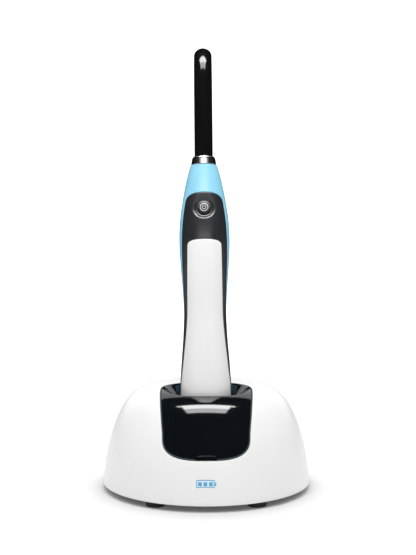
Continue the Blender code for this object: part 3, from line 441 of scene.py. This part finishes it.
def finish(slot, colour, roughness, metallic=0.0, vary=0.05, grain=0.25 * MM, depth=0.004 * MM, uneven=0.06,
           worn=None, name=None, **sockets):
    """A material with clouded colour, a fine surface grain, uneven gloss, and edges rubbed to `worn`."""
    made = bpy.data.materials.new(name or slot)
    made.use_nodes = True
    made["slot"] = slot
    tree = made.node_tree
    shader = tree.nodes["Principled BSDF"]
    shader.inputs["Metallic"].default_value = metallic
    for socket, value in sockets.items():
        shader.inputs[socket.replace("_", " ")].default_value = value
    place = tree.nodes.new("ShaderNodeTexCoord").outputs["Object"]

    def noise(size, detail):
        node = tree.nodes.new("ShaderNodeTexNoise")
        node.inputs["Scale"].default_value = 1 / size
        node.inputs["Detail"].default_value = detail
        tree.links.new(place, node.inputs["Vector"])
        return node.outputs["Fac"]

    def ranged(value, low, high, from_low=0.3, from_high=0.7):
        node = tree.nodes.new("ShaderNodeMapRange")
        limits = {"From Min": from_low, "From Max": from_high, "To Min": low, "To Max": high}
        for socket, number in limits.items():
            node.inputs[socket].default_value = number
        tree.links.new(value, node.inputs["Value"])
        return node.outputs["Result"]

    def mixed(factor, first, second):
        node = tree.nodes.new("ShaderNodeMix")
        node.data_type = "RGBA"
        tree.links.new(factor, node.inputs["Factor"])
        for socket, value in ((6, first), (7, second)):
            if isinstance(value, tuple):
                node.inputs[socket].default_value = (*value, 1)
            else:
                tree.links.new(value, node.inputs[socket])
        return node.outputs[2]

    cloud = ranged(noise(CLOUD_SIZE, 4), 0, 1)
    darker = tuple(c * (1 - vary) for c in colour)
    lighter = tuple(min(c * (1 + vary), 1) for c in colour)
    tone = mixed(cloud, darker, lighter)
    if worn:
        sharpness = tree.nodes.new("ShaderNodeNewGeometry").outputs["Pointiness"]
        rubbed = ranged(sharpness, 0, 0.6, 0.515, 0.60)
        patchy = tree.nodes.new("ShaderNodeMath")
        patchy.operation = "MULTIPLY"
        tree.links.new(rubbed, patchy.inputs[0])
        tree.links.new(ranged(noise(PATCH_SIZE, 3), 0, 1), patchy.inputs[1])
        tone = mixed(patchy.outputs[0], tone, worn)
    tree.links.new(tone, shader.inputs["Base Color"])
    tree.links.new(ranged(noise(GLOSS_SIZE, 6), roughness * (1 - uneven), roughness * (1 + uneven)),
                   shader.inputs["Roughness"])
    bump = tree.nodes.new("ShaderNodeBump")
    bump.inputs["Distance"].default_value = depth
    tree.links.new(noise(grain, 2), bump.inputs["Height"])
    tree.links.new(bump.outputs["Normal"], shader.inputs["Normal"])
    return made


def tinted(made, factor, tint):
    """Mixes a tint over a material's colour."""
    tree = made.node_tree
    colour = tree.nodes["Principled BSDF"].inputs["Base Color"]
    mix = tree.nodes.new("ShaderNodeMix")
    mix.data_type = "RGBA"
    mix.inputs[7].default_value = (*tint, 1)
    tree.links.new(colour.links[0].from_socket, mix.inputs[6])
    tree.links.new(factor, mix.inputs["Factor"])
    tree.links.new(mix.outputs[2], colour)
    return made


def lined(made, pitch, lighter, axis="Z"):
    """Adds fine parallel lines, as brushing or machining leaves."""
    tree = made.node_tree
    wave = tree.nodes.new("ShaderNodeTexWave")
    wave.bands_direction = axis
    wave.inputs["Scale"].default_value = 0.314 / pitch
    wave.inputs["Distortion"].default_value = 1.5
    wave.inputs["Detail"].default_value = 3
    tree.links.new(tree.nodes["Texture Coordinate"].outputs["Object"], wave.inputs["Vector"])
    return tinted(made, wave.outputs["Fac"], lighter)


def traced(made, copper):
    """Adds square-cornered copper tracks under a board's varnish."""
    tree = made.node_tree
    cells = tree.nodes.new("ShaderNodeTexVoronoi")
    cells.feature = "F1"
    cells.distance = "CHEBYCHEV"
    cells.inputs["Scale"].default_value = 1 / (3.0 * MM)
    tree.links.new(tree.nodes["Texture Coordinate"].outputs["Object"], cells.inputs["Vector"])
    band = tree.nodes.new("ShaderNodeMath")
    band.operation = "COMPARE"
    band.inputs[1].default_value = 0.32
    band.inputs[2].default_value = 0.05
    tree.links.new(cells.outputs["Distance"], band.inputs[0])
    return tinted(made, band.outputs[0], copper)


WHITE = finish("white_shell", (0.845, 0.845, 0.84), 0.34, vary=0.012, worn=(0.70, 0.69, 0.67),
               depth=0.0012 * MM)
SMOKE = finish("smoked_insert", (0.0042, 0.0056, 0.0078), 0.085, vary=0.12, worn=(0.02, 0.03, 0.03),
               depth=0.0004 * MM, grain=0.9 * MM, Specular_IOR_Level=1.0)
WINDOW = finish("smoked_insert", (0.002, 0.003, 0.004), 0.05, vary=0.1, depth=0.0003 * MM,
                name="status_lens")
# Painted highlight: a lighter teal tone that stands in for the light caught by the smoked insert's rounded
# edge.
TEAL_EDGE_HIGHLIGHT = finish("smoked_insert", (0.030, 0.058, 0.060), 0.30, vary=0.10, name="painted_edge_highlight")
RUBBER = finish("rubber", (0.011, 0.011, 0.012), 0.70, vary=0.15, grain=0.15 * MM, depth=0.012 * MM,
                worn=(0.06, 0.06, 0.06))
PLATE = finish("base_plate", (0.070, 0.071, 0.076), 0.55, vary=0.08, grain=0.35 * MM, depth=0.02 * MM,
               worn=(0.13, 0.13, 0.13))
STEEL = lined(finish("steel", (0.60, 0.60, 0.61), 0.28, 1.0, vary=0.06, worn=(0.8, 0.8, 0.8)), 0.3 * MM,
              (0.70, 0.70, 0.71))
GOLD = finish("contact_gold", (0.86, 0.62, 0.27), 0.22, 1.0, vary=0.08, worn=(0.95, 0.80, 0.50))
BOARD = traced(finish("circuit_board", (0.020, 0.17, 0.075), 0.38, vary=0.12, depth=0.006 * MM,
                      Coat_Weight=0.4), (0.07, 0.30, 0.12))
CHIP = finish("component", (0.028, 0.028, 0.031), 0.52, vary=0.12, grain=0.12 * MM, depth=0.008 * MM,
              worn=(0.10, 0.10, 0.10))
BLUE = finish("blue_shell", (0.215, 0.505, 0.66), 0.38, vary=0.02, worn=(0.38, 0.62, 0.72), depth=0.0010 * MM,
              Specular_IOR_Level=0.7)
GREY = finish("grey_panel", (0.017, 0.018, 0.022), 0.31, vary=0.06, grain=0.16 * MM, depth=0.0040 * MM,
              worn=(0.10, 0.10, 0.11))
GRIP = finish("grip_white", (0.71, 0.71, 0.705), 0.32, vary=0.012, worn=(0.74, 0.73, 0.71), depth=0.0012 * MM)
CELL = finish("battery_wrap", (0.06, 0.13, 0.36), 0.30, vary=0.10, worn=(0.30, 0.38, 0.55), Coat_Weight=0.5)
FRAME = finish("chassis", (0.50, 0.51, 0.52), 0.48, vary=0.05, grain=0.3 * MM, depth=0.010 * MM,
               worn=(0.66, 0.66, 0.66))
ALUMINIUM = lined(finish("aluminium", (0.70, 0.71, 0.73), 0.33, 1.0, vary=0.05, worn=(0.85, 0.85, 0.86)),
                  0.25 * MM, (0.80, 0.80, 0.82))
CHROME = finish("polished_steel", (0.76, 0.76, 0.77), 0.24, 1.0, vary=0.03, worn=(0.86, 0.86, 0.86),
                depth=0.0003 * MM, Anisotropic=0.7)
GLASS = finish("glass", (0.86, 0.93, 0.92), 0.05, vary=0.03, depth=0.0003 * MM, Transmission_Weight=0.9,
               IOR=1.52)
BLACK = finish("guide_black", (0.0060, 0.0060, 0.0064), 0.11, vary=0.15, worn=(0.03, 0.03, 0.03),
               depth=0.0004 * MM, grain=0.8 * MM, Specular_IOR_Level=0.9)
EMITTER = finish("led_die", (0.88, 0.78, 0.22), 0.35, vary=0.10, grain=0.1 * MM, depth=0.01 * MM)
BUTTON_RUBBER = finish("rubber", (0.018, 0.019, 0.021), 0.33, vary=0.10, grain=0.2 * MM, depth=0.003 * MM,
                       worn=(0.07, 0.07, 0.08), name="button_rubber")
ICON_INK = finish("rubber", (0.62, 0.63, 0.64), 0.45, vary=0.06, name="icon_ink")
MARK_INK = finish("white_shell", (0.08, 0.42, 0.70), 0.40, vary=0.06, name="mark_ink")


# --- charging base -------------------------------------------------------------------------------------

def opening_loop(grow):
    """The insert's outline on the dome's flat map, without its window notch."""
    half_width, back = CRADLE_HALF_WIDTH + grow, CRADLE_BACK + grow
    corner_width = CRADLE_CORNER_HALF_WIDTH + grow
    drop = CRADLE_CORNER_Z - CRADLE_BOTTOM + grow
    loop = []
    for i in range(49):
        angle = math.pi / 2 + math.pi * i / 48
        loop.append(dome_flat(*oval_point(angle, half_width, back)))
    side_top = 60 * MM
    left = []
    for i in range(8):
        width = half_width + (corner_width - half_width) * i / 8
        left.append(dome_front(-width, side_top - (side_top - CRADLE_CORNER_Z) * i / 8))
    left += [dome_front(-corner_width * across, CRADLE_CORNER_Z - drop * along)
             for across, along in corner_arc(28, 3.25)]
    return loop + left + [(-x, y) for x, y in left[-2::-1]]


def cup_point(angle, height, grow=0.0):
    """A point on the cup's inside wall."""
    half_width = through([(h, w) for h, w, _ in CUP_SPACE], height / MM) * MM + grow
    half_depth = through([(h, d) for h, _, d in CUP_SPACE], height / MM) * MM + grow
    x, y = oval_point(angle, half_width, half_depth)
    return Vector((x, y, height))


def mouth_point(angle, grow=0.0):
    """Where the cup's wall, or one set further out, meets the dome."""
    low, high = 50 * MM, 62 * MM
    for _ in range(30):
        middle = 0.5 * (low + high)
        point = cup_point(angle, middle, grow)
        low, high = (middle, high) if dome_height(math.hypot(point.x, point.y)) > middle else (low, middle)
    return point


def build_dome():
    rim = [(DOME_LENGTH[-1] * math.sin(TURN * i / 240), DOME_LENGTH[-1] * math.cos(TURN * i / 240))
           for i in range(240)]
    inlet = [dome_front(x, z) for x, z in circle(POWER_INLET_RADIUS, 48, (0, POWER_INLET_HEIGHT))]
    inlet = [(x, -y) for x, y in inlet]
    mesh = skin(dome_surface, [rim, opening_loop(0.15 * MM), inlet], 2.2 * MM, 0.35 * MM, 2.4 * MM)
    shown("base_dome", mesh, WHITE, "base", "base_shell")


def build_insert():
    loop = opening_loop(-0.10 * MM)
    half, top = WINDOW_HALF_WIDTH + 0.2 * MM, WINDOW_TOP + 0.2 * MM
    lowest = min(y for _, y in loop)

    def parted(loop, gap):
        """The loop's two stretches either side of a gap in the middle of its lower edge."""
        kept = [(x, y) for x, y in loop if not (abs(x) < gap and y < lowest + 2 * MM)]
        after = next(i + 1 for i, (x, y) in enumerate(kept)
                     if x < 0 < kept[(i + 1) % len(kept)][0] and y < -70 * MM)
        return kept[:after], kept[after:]

    before, beyond = parted(loop, half * 1.05)
    notch = [dome_front(-half, CRADLE_BOTTOM), dome_front(-half, top), dome_front(half, top),
             dome_front(half, CRADLE_BOTTOM)]
    outline = before + notch + beyond
    count, lip = 128, 0.7 * MM
    hole = [dome_flat(*mouth_point(TURN * i / count, lip).xy) for i in range(count)]

    def cup(bm, corners):
        angles = [math.atan2(c.co.x, HAND_Y - c.co.y) for c in corners]
        edges = [mouth_point(angle) for angle in angles]
        rings = [corners]
        for t in (step / 5 for step in range(1, 6)):
            ring = []
            for corner, angle, edge in zip(corners, angles, edges):
                below = cup_point(angle, edge.z - lip)
                ring.append(bm.verts.new((1 - t) ** 2 * corner.co + 2 * t * (1 - t) * edge + t**2 * below))
            rings.append(ring)
        for step in range(1, 19):
            ring = []
            for angle, edge in zip(angles, edges):
                top = edge.z - lip
                ring.append(bm.verts.new(cup_point(angle, top + (CUP_FLOOR - top) * step / 18)))
            rings.append(ring)
        stitch(bm, rings)
        floor_with_holes(bm, rings[-1])

    mesh = skin(dome_surface, [outline, hole], 1.6 * MM, 0.3 * MM, 2.2 * MM, deeper=cup)
    shown("cradle_insert", mesh, SMOKE, "base", "cradle", sharp=40)

    def proud(x, y):
        point, normal = dome_surface(x, y)
        return point + 0.03 * MM * normal, normal

    def edge_line(grow):
        before, beyond = parted(opening_loop(grow), half * 1.15)
        return beyond + before

    # A thin lighter teal strip just inside the insert's outline: a painted highlight of the light its rounded
    # edge catches.
    strip = skin(proud, [edge_line(-0.22 * MM) + edge_line(-0.85 * MM)[::-1]], 0.8 * MM, 0.02 * MM, 0.06 * MM)
    shown("cradle_edge_line", strip, TEAL_EDGE_HIGHLIGHT, "base", None)


def floor_with_holes(bm, ring):
    """Closes the cup's floor, leaving the two holes that the contact pins come up through."""
    holes = [[bm.verts.new((*place, CUP_FLOOR)) for place in circle(1.5 * MM, 24, (x, HAND_Y))]
             for x in (-CONTACT_X, CONTACT_X)]
    verts = [*ring, *holes[0], *holes[1]]
    edges, start = [], 0
    for loop in (ring, *holes):
        edges += [(start + i, start + (i + 1) % len(loop)) for i in range(len(loop))]
        start += len(loop)
    flat = [v.co.xy / MM for v in verts]
    faces = delaunay_2d_cdt(flat, edges, [], 0, 1e-5)[2]
    loops = [np.array([v.co.xy / MM for v in hole]) for hole in holes]
    for face in faces:
        middle = np.array([sum((flat[i] for i in face), Vector((0, 0))) / len(face)])
        if not any(inside(middle, loop)[0] for loop in loops):
            bm.faces.new([verts[i] for i in face])


def build_window():
    half, low, top = WINDOW_HALF_WIDTH, CRADLE_BOTTOM + 0.1 * MM, WINDOW_TOP
    corners = [(-half, low), (half, low), (half, top), (-half, top)]
    outline = [dome_front(x, z) for x, z in corners]
    mesh = skin(dome_surface, [outline], 0.7 * MM, 0.2 * MM, 1.6 * MM)
    shown("status_window_lens", mesh, WINDOW, "base", "status_window")


def build_feet():
    low, high = FOOT_RADIUS / MM, FOOT_HEIGHT / MM
    profile = [(0, 6.9, 0), (2.2, 6.9, 0), (2.2, high - 0.3, 0.2), (low, high - 0.3, 0.3), (low, 0.0, 0.7),
               (low - 1.6, 0.0, 0.2), (low - 1.8, 0.35, 0.2), (0, 0.35, 0)]
    for end, y in (("front", -FOOT_Y), ("rear", FOOT_Y)):
        for side, x in (("left", -FOOT_X), ("right", FOOT_X)):
            shown(f"foot_pad_{end}_{side}", lathe(profile, 64), RUBBER, "base", f"foot_{end}_{side}",
                  Matrix.Translation((x, y, 0)))


def build_pins():
    top = PIN_TOP / MM
    profile = [(0, 0.0, 0), (1.2, -0.1, 0.8), (1.2, 11.5 - top, 0.1), (1.6, 11.5 - top, 0.15),
               (1.6, 10.4 - top, 0.15), (0, 10.4 - top, 0)]
    for side, x in (("left", -CONTACT_X), ("right", CONTACT_X)):
        shown(f"pin_{side}_plated", lathe(profile, 48), GOLD, f"pin_{side}", f"contact_pin_{side}",
              Matrix.Translation((x, HAND_Y, PIN_TOP)))
        curve = bpy.data.curves.new("coil", "CURVE")
        curve.dimensions = "3D"
        curve.bevel_depth = COIL_WIRE_RADIUS
        curve.bevel_resolution = 3
        curve.use_fill_caps = True
        spline = curve.splines.new("POLY")
        per_turn = 32
        count = COIL_TURNS * per_turn
        spline.points.add(count)
        for i, point in enumerate(spline.points):
            turn = TURN * i / per_turn
            point.co = (x + COIL_RADIUS * math.cos(turn), HAND_Y + COIL_RADIUS * math.sin(turn),
                        SPRING_LOW + SPRING_HEIGHT * i / count, 1)
        helper = bpy.data.objects.new("coil", curve)
        bpy.context.scene.collection.objects.link(helper)
        mesh = bpy.data.meshes.new_from_object(helper.evaluated_get(bpy.context.evaluated_depsgraph_get()))
        bpy.data.objects.remove(helper)
        coil = shown(f"pin_spring_{side}", mesh, STEEL, "base", f"contact_spring_{side}")
        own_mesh(coil)


# --- handpiece -----------------------------------------------------------------------------------------

def side_edge(stations, top, corner, spread):
    """One side of a panel on the case's flat map, from the bottom up to the middle of its arched top."""
    straight_end = top - corner
    edge = []
    for i in range(90):
        station = SHELL_BOTTOM + (straight_end - SHELL_BOTTOM) * i / 90
        edge.append((math.radians(through(stations, station / MM)) * FLAT_RADIUS + spread, station))
    for across, along in corner_arc(28, 2.5):
        station = straight_end + (corner + spread) * along
        full_width = math.radians(through(stations, station / MM)) * FLAT_RADIUS + spread
        edge.append((across * full_width, station))
    return edge


def arch(edge):
    """Up the left side, over the top and down the right side."""
    return [(-x, y) for x, y in edge] + edge[-2::-1]


def build_case():
    half = 0.5 * SEAM
    grip = arch(side_edge(GRIP_EDGE, GRIP_TOP, GRIP_CORNER, -half))
    mesh = skin(case_surface, [grip], 1.5 * MM, 0.35 * MM, CASE_WALL)
    shown("grip_shell", mesh, GRIP, "handpiece", "grip_cover", HAND)

    outline = arch(side_edge(PANEL_EDGE, PANEL_TOP, PANEL_CORNER, -half))
    outline += arch(side_edge(GRIP_EDGE, GRIP_TOP, GRIP_CORNER, half))[::-1]
    hole = circle(BUTTON_RADIUS + 0.4 * MM, 64, (0, BUTTON_STATION))
    rings = [p for radius in np.arange(4.9, 8.1, 0.4)
             for p in circle(radius * MM, round(TURN * radius / 0.5), (0, BUTTON_STATION))]
    mesh = skin(case_surface, [outline, hole], 1.2 * MM, 0.25 * MM, CASE_WALL, extra=rings)
    shown("front_fascia", mesh, GREY, "handpiece", "front_panel", HAND)

    outline = arch(side_edge(PANEL_EDGE, PANEL_TOP, PANEL_CORNER, half))
    far = math.pi * FLAT_RADIUS
    rows = 100
    back = [SHELL_BOTTOM + (NOSE_END - SHELL_BOTTOM) * i / rows for i in range(rows + 1)]
    outline += [(far, s) for s in back] + [(-far, s) for s in reversed(back)]
    mesh = skin(case_surface, [outline], 1.5 * MM, 0.35 * MM, CASE_WALL, seam_at=far)
    shown("body_case", mesh, BLUE, "handpiece", "body_shell", HAND)


def build_cap():
    inset = 0.1 * MM
    half_width = through(HALF_WIDTH, 16.7) * MM - inset
    half_depth = through(HALF_DEPTH, 16.7) * MM - inset
    outline = [oval_point(TURN * i / 120, half_width, half_depth, 0.0) for i in range(120)]
    wells = [circle(3.0 * MM, 40, (x, 0)) for x in (-CONTACT_X, CONTACT_X)]

    def underside(x, y):
        return Vector((x, y, CAP_BOTTOM)), Vector((0, 0, -1))

    mesh = skin(underside, [outline, *wells], 1.6 * MM, 0.5 * MM, SHELL_BOTTOM - 0.3 * MM - CAP_BOTTOM)
    shown("end_cap_cover", mesh, GREY, "handpiece", "end_cap", HAND)


def build_button():
    def top(radius):
        return BUTTON_CROWN - BUTTON_FALL * radius**2 - BUTTON_SINK

    def surface(x, y):
        return (Vector((x, y, top(math.hypot(x, y)) + 0.02 * MM)),
                Vector((2 * BUTTON_FALL * x, 2 * BUTTON_FALL * y, 1)).normalized())

    def printed(name, loops, spacing):
        mesh = skin(surface, loops, spacing, PRINT_ROLL, PRINT_DEPTH)
        shown(name, mesh, ICON_INK, "button", None, BUTTON)

    rows = [(r, top(r * MM) / MM, 0) for r in (0, 0.6, 1.2, 1.8, 2.4, 3.0, 3.4)]
    profile = rows + [(3.95, top(3.9 * MM) / MM, 0.5), (3.95, -1.0, 0.1), (3.3, -1.3, 0.1), (3.3, -3.2, 0.1),
                      (0, -3.2, 0)]
    shown("button_cap", lathe(profile, 96), BUTTON_RUBBER, "button", "power_button", BUTTON)

    printed("button_icon_ring", [circle(2.42 * MM, 72), circle(2.02 * MM, 72)], 0.5 * MM)
    turns = [math.radians(130 + 280 * i / 40) for i in range(41)]
    arc = [(1.25 * MM * math.cos(t), 1.25 * MM * math.sin(t)) for t in turns]
    arc += [(0.90 * MM * math.cos(t), 0.90 * MM * math.sin(t)) for t in reversed(turns)]
    printed("button_icon_arc", [arc], 0.4 * MM)
    bar = [(-0.17 * MM, 0.25 * MM), (0.17 * MM, 0.25 * MM), (0.17 * MM, 1.40 * MM), (-0.17 * MM, 1.40 * MM)]
    printed("button_icon_bar", [bar], 0.4 * MM)


def build_mark():
    """A printed battery sign low on the dome's front: its outline, terminal and three level bars."""
    def printed(x, y):
        point, normal = dome_surface(x, y)
        return point + 0.02 * MM * normal, normal

    def block(name, left, right, low, high, border=0.0):
        def outline(inset):
            corners = [(left + inset, low + inset), (right - inset, low + inset),
                       (right - inset, high - inset), (left + inset, high - inset)]
            return [dome_front(x * MM, z * MM) for x, z in corners]

        loops = [outline(0.0)] + ([outline(border)] if border else [])
        shown(name, skin(printed, loops, 0.5 * MM, PRINT_ROLL, PRINT_DEPTH), MARK_INK, "base", None)

    block("dome_mark_outline", -5.4, 4.6, 13.2, 17.4, 0.5)
    block("dome_mark_terminal", 4.7, 5.5, 14.4, 16.2)
    for i, left in enumerate((-4.4, -1.45, 1.5)):
        block(f"dome_mark_bar_{i + 1}", left, left + 2.1, 14.2, 16.4)


# --- light guide ---------------------------------------------------------------------------------------

def guide_stops(start, radius_of, tip_steps):
    """(centre, direction, radius) along the guide. tip_steps gives (further along, radius) at its end."""
    straight_steps, bend_steps = 12, 28
    stops = []
    for i in range(straight_steps + 1):
        along = start + (GUIDE_STRAIGHT_END - start) * i / straight_steps
        stops.append((Vector((0, 0, along)), Vector((0, 0, 1)), radius_of(0.0)))
    for i in range(1, bend_steps + 1):
        turn = GUIDE_BEND_ANGLE * i / bend_steps
        centre = Vector((0, GUIDE_BEND_RADIUS * (1 - math.cos(turn)),
                         GUIDE_STRAIGHT_END + GUIDE_BEND_RADIUS * math.sin(turn)))
        stops.append((centre, Vector((0, math.sin(turn), math.cos(turn))), radius_of(i / bend_steps)))
    centre, direction, _ = stops[-1]
    for further, radius in tip_steps:
        stops.append((centre + further * direction, direction, radius))
    return stops


def stop_rings(stops, count=56):
    rings = []
    for centre, direction, radius in stops:
        side = direction.cross(Vector((1, 0, 0)))
        rings.append([centre + radius * (math.cos(TURN * i / count) * Vector((1, 0, 0))
                                         + math.sin(TURN * i / count) * side) for i in range(count)])
    return rings


def build_guide():
    def outside(share):
        return GUIDE_RADIUS + share * (GUIDE_TIP_RADIUS - GUIDE_RADIUS)

    tip, end = GUIDE_TIP_RADIUS, GUIDE_TIP_LENGTH
    lip = 0.35 * MM
    round_lip = [(end - lip + lip * math.sin(t), tip - lip + lip * math.cos(t))
                 for t in (math.pi / 2 * i / 6 for i in range(7))]
    bore = [(end, tip - JACKET_WALL), (end - 2.5 * MM, tip - JACKET_WALL)]
    rings = stop_rings(guide_stops(3.3 * MM, outside, round_lip + bore))
    shown("guide_sleeve", rings_mesh(rings), BLACK, "light_guide", "guide_jacket", NOSE)

    rod = tip - JACKET_WALL - 0.1 * MM
    lens = [(end - 0.5 * MM, rod)]
    lens += [(end - 0.5 * MM + 0.35 * MM * math.sin(t), rod * math.cos(t)) for t in
             (math.pi / 2 * i / 6 for i in range(1, 6))]
    rod_stops = guide_stops(0.3 * MM - STUB_LENGTH, lambda s: outside(s) - JACKET_WALL - 0.1 * MM, lens)
    shown("guide_lens_rod", rings_mesh(stop_rings(rod_stops), True, True), GLASS, "light_guide", "guide_rod",
          NOSE)

    high, low = COLLAR_HEIGHT / MM, -STUB_LENGTH / MM
    profile = [(6.15, high, 0.15), (6.75, 4.5, 0.2), (6.95, 3.8, 0.2), (7.5, 0.3, 0.3), (5.0, 0.3, 0.1),
               (5.0, 0.5 + low, 0.2), (4.7, low, 0.1), (4.5, low, 0.1), (4.5, 3.0, 0.1), (5.5, 3.0, 0.1),
               (5.5, high, 0.1)]
    shown("collar_sleeve", lathe(profile, 128, closed=True), CHROME, "collar", "guide_collar", NOSE)


# --- carried-over solids -------------------------------------------------------------------------------

CARRIED = {
    PLATE: ["base_plate"],
    STEEL: ["base_screw_1", "base_screw_2", "base_screw_3", "base_screw_4", "ballast_plate",
            "board_screw_upper", "board_screw_lower"],
    BOARD: ["charger_board", "status_board", "contact_board", "control_board", "led_board", "switch_board"],
    CHIP: ["power_jack", "charger_chip", "charger_inductor", "contact_block", "processor", "led_driver",
           "driver_inductor", "sounder", "tactile_switch", "button_plunger"],
    ALUMINIUM: ["smoothing_capacitor", "heat_sink", "guide_socket"],
    GLASS: ["status_light_pipe", "collector_lens"],
    RUBBER: ["charge_lead", "socket_o_ring"],
    GOLD: ["charge_pad_left", "charge_pad_right"],
    CELL: ["battery_cell"],
    FRAME: ["chassis"],
    EMITTER: ["led_emitter"],
}


def dress_carried():
    for material, nodes in CARRIED.items():
        for node in nodes:
            for slot in bpy.data.objects[node].material_slots:
                slot.material = material


# --- studio --------------------------------------------------------------------------------------------

def softbox(name, centre, target, width, height, radiance):
    light = bpy.data.lights.new(name, "AREA")
    light.shape = "RECTANGLE"
    light.size, light.size_y = width, height
    light.energy = math.pi * width * height * radiance
    lamp = bpy.data.objects.new(name, light)
    lamp.location = centre
    lamp.rotation_euler = (Vector(target) - Vector(centre)).to_track_quat("-Z", "Y").to_euler()
    bpy.context.scene.collection.objects.link(lamp)
    return lamp


def lit_only(lamp, names):
    """Keeps a lamp's light on the named pieces."""
    lamp.light_linking.receiver_collection = bpy.data.collections.new(lamp.name + "_pieces")
    for name in names:
        lamp.light_linking.receiver_collection.objects.link(bpy.data.objects[name])
    return lamp


def staged(name, rows, half_width, material, glossy=True):
    """A sheet of the studio: it runs across X and follows the (y, z) rows."""
    bm = bmesh.new()
    lines = [[bm.verts.new((x, y, z)) for x in (-half_width, half_width)] for y, z in rows]
    for low, high in zip(lines, lines[1:]):
        bm.faces.new((low[0], low[1], high[1], high[0]))
    mesh = as_mesh(bm, name)
    mesh.shade_smooth()
    mesh.materials.append(material)
    sheet = bpy.data.objects.new(name, mesh)
    sheet.visible_glossy = glossy
    bpy.context.scene.collection.objects.link(sheet)


def floor_paper():
    """Pale paper whose glow fades near whatever stands on it, as a contact shadow."""
    paper = finish("floor", (PAPER_TONE, PAPER_TONE, PAPER_TONE), 0.9, vary=0.004, depth=0.002 * MM,
                   name="paper", Specular_IOR_Level=0.0, Emission_Color=(1, 1, 1, 1))
    nodes, links = paper.node_tree.nodes, paper.node_tree.links
    nearby = nodes.new("ShaderNodeAmbientOcclusion")
    nearby.inputs["Distance"].default_value = SHADOW_REACH
    deeper = nodes.new("ShaderNodeMath")
    deeper.operation = "POWER"
    deeper.inputs[1].default_value = SHADOW_POWER
    glow_share = nodes.new("ShaderNodeMath")
    glow_share.operation = "MULTIPLY_ADD"
    glow_share.inputs[1].default_value = GLOW_SHARE
    glow_share.inputs[2].default_value = LEAST_GLOW
    links.new(nearby.outputs["AO"], deeper.inputs[0])
    links.new(deeper.outputs[0], glow_share.inputs[0])
    links.new(glow_share.outputs[0], nodes["Principled BSDF"].inputs["Emission Strength"])
    return paper


def build_stage():
    """Even soft light all round, the floor, and a bright backdrop that curves up behind it."""
    scene = bpy.context.scene
    scene.view_settings.view_transform = "Standard"
    world = bpy.data.worlds.new("studio")
    scene.world = world
    world.use_nodes = True
    background = world.node_tree.nodes["Background"]
    background.inputs["Color"].default_value = (1, 1, 1, 1)
    background.inputs["Strength"].default_value = AROUND
    world.cycles_visibility.glossy = False

    paper = floor_paper()
    glow = finish("floor", (0.90, 0.90, 0.90), 0.9, vary=0.004, depth=0.002 * MM, name="backdrop",
                  Emission_Color=(1, 1, 1, 1), Emission_Strength=0.6, Specular_IOR_Level=0.0)
    front, rear, bend, half_width, top = -2.0, 0.5, 0.4, 2.5, 1.6
    staged("floor", [(front, 0.0), (rear, 0.0)], half_width, paper)
    turns = [math.pi / 2 * i / 12 for i in range(13)]
    curve = [(rear + bend * math.sin(t), bend - bend * math.cos(t)) for t in turns]
    staged("backdrop", curve, half_width, glow, glossy=False)
    staged("backdrop_top", [(rear + bend, bend), (rear + bend, top)], half_width, glow, glossy=False)


def build_shared_lamps():
    """Three strips overhead and a fill in front, for everything."""
    strips = [("wing", -0.115, 1.06, 0.06, 10), ("rear", -0.23, 0.88, 0.17, 10),
              ("front", -0.45, 0.88, 0.26, 5)]
    for name, y, width, depth, radiance in strips:
        softbox("overhead_" + name, (0, y, 1.15), (0, y, 0.0), width, depth, radiance)
    softbox("fill", (0, -0.27, 0.38), (0, -0.02, 0.16), 0.20, 0.12, 3.0).visible_glossy = False


def build_piece_lamps():
    """Lamps that each light only the named pieces, as a retouched photograph does."""
    lit_only(softbox("collar_front", (0, -0.60, 0.50), (0, -0.02, 0.20), 0.62, 0.40, 1.9), ["collar_sleeve"])
    lit_only(softbox("panel_front", (0, -0.70, 0.25), (0, -0.02, 0.15), 0.45, 0.13, 4.8), ["front_fascia"])
    panel = lit_only(softbox("panel_top", (0, -0.30, 0.75), (0, -0.02, 0.15), 0.50, 0.30, 20.0),
                     ["front_fascia", "button_cap", "button_icon_ring", "button_icon_arc", "button_icon_bar"])
    panel.visible_diffuse = False
    grip = softbox("grip_front", (0, -0.20, 0.33), (0, -0.03, 0.13), 0.24, 0.12, 3.6)
    lit_only(grip, ["grip_shell"])
    grip.visible_glossy = grip.visible_camera = False
    lit_only(softbox("shell_front", (0, -0.50, 0.39), (0, -0.02, 0.18), 0.28, 0.14, 9.0), ["body_case"])
    lit_only(softbox("floor_rear", (0, 0.45, 0.80), (0, 0.45, 0.0), 2.0, 0.3, 1.5), ["floor"])
    rim = lit_only(softbox("dome_rear", (0, 0.85, 0.40), (0, 0.0, 0.06), 2.4, 0.5, 1.2), ["base_dome"])
    rim.visible_camera = rim.visible_diffuse = False
    sill = lit_only(softbox("insert_rear", (0, 0.88, 1.0), (0, 0.0, 1.0), 5.0, 1.2, 1.0), ["cradle_insert"])
    sill.visible_camera = sill.visible_diffuse = False


def build_camera():
    camera = bpy.data.cameras.new("camera")
    camera.sensor_fit = "VERTICAL"
    camera.sensor_height = SENSOR_HEIGHT
    camera.lens = LENS
    view = bpy.data.objects.new("camera", camera)
    view.location = CAMERA_PLACE
    view.rotation_euler = (math.pi / 2 - CAMERA_DIP, 0, 0)
    bpy.context.scene.collection.objects.link(view)
    bpy.context.scene.camera = view


build_dome()
build_insert()
build_window()
build_feet()
build_pins()
build_case()
build_cap()
build_button()
build_mark()
build_guide()
dress_carried()
build_stage()
build_shared_lamps()
build_piece_lamps()
build_camera()
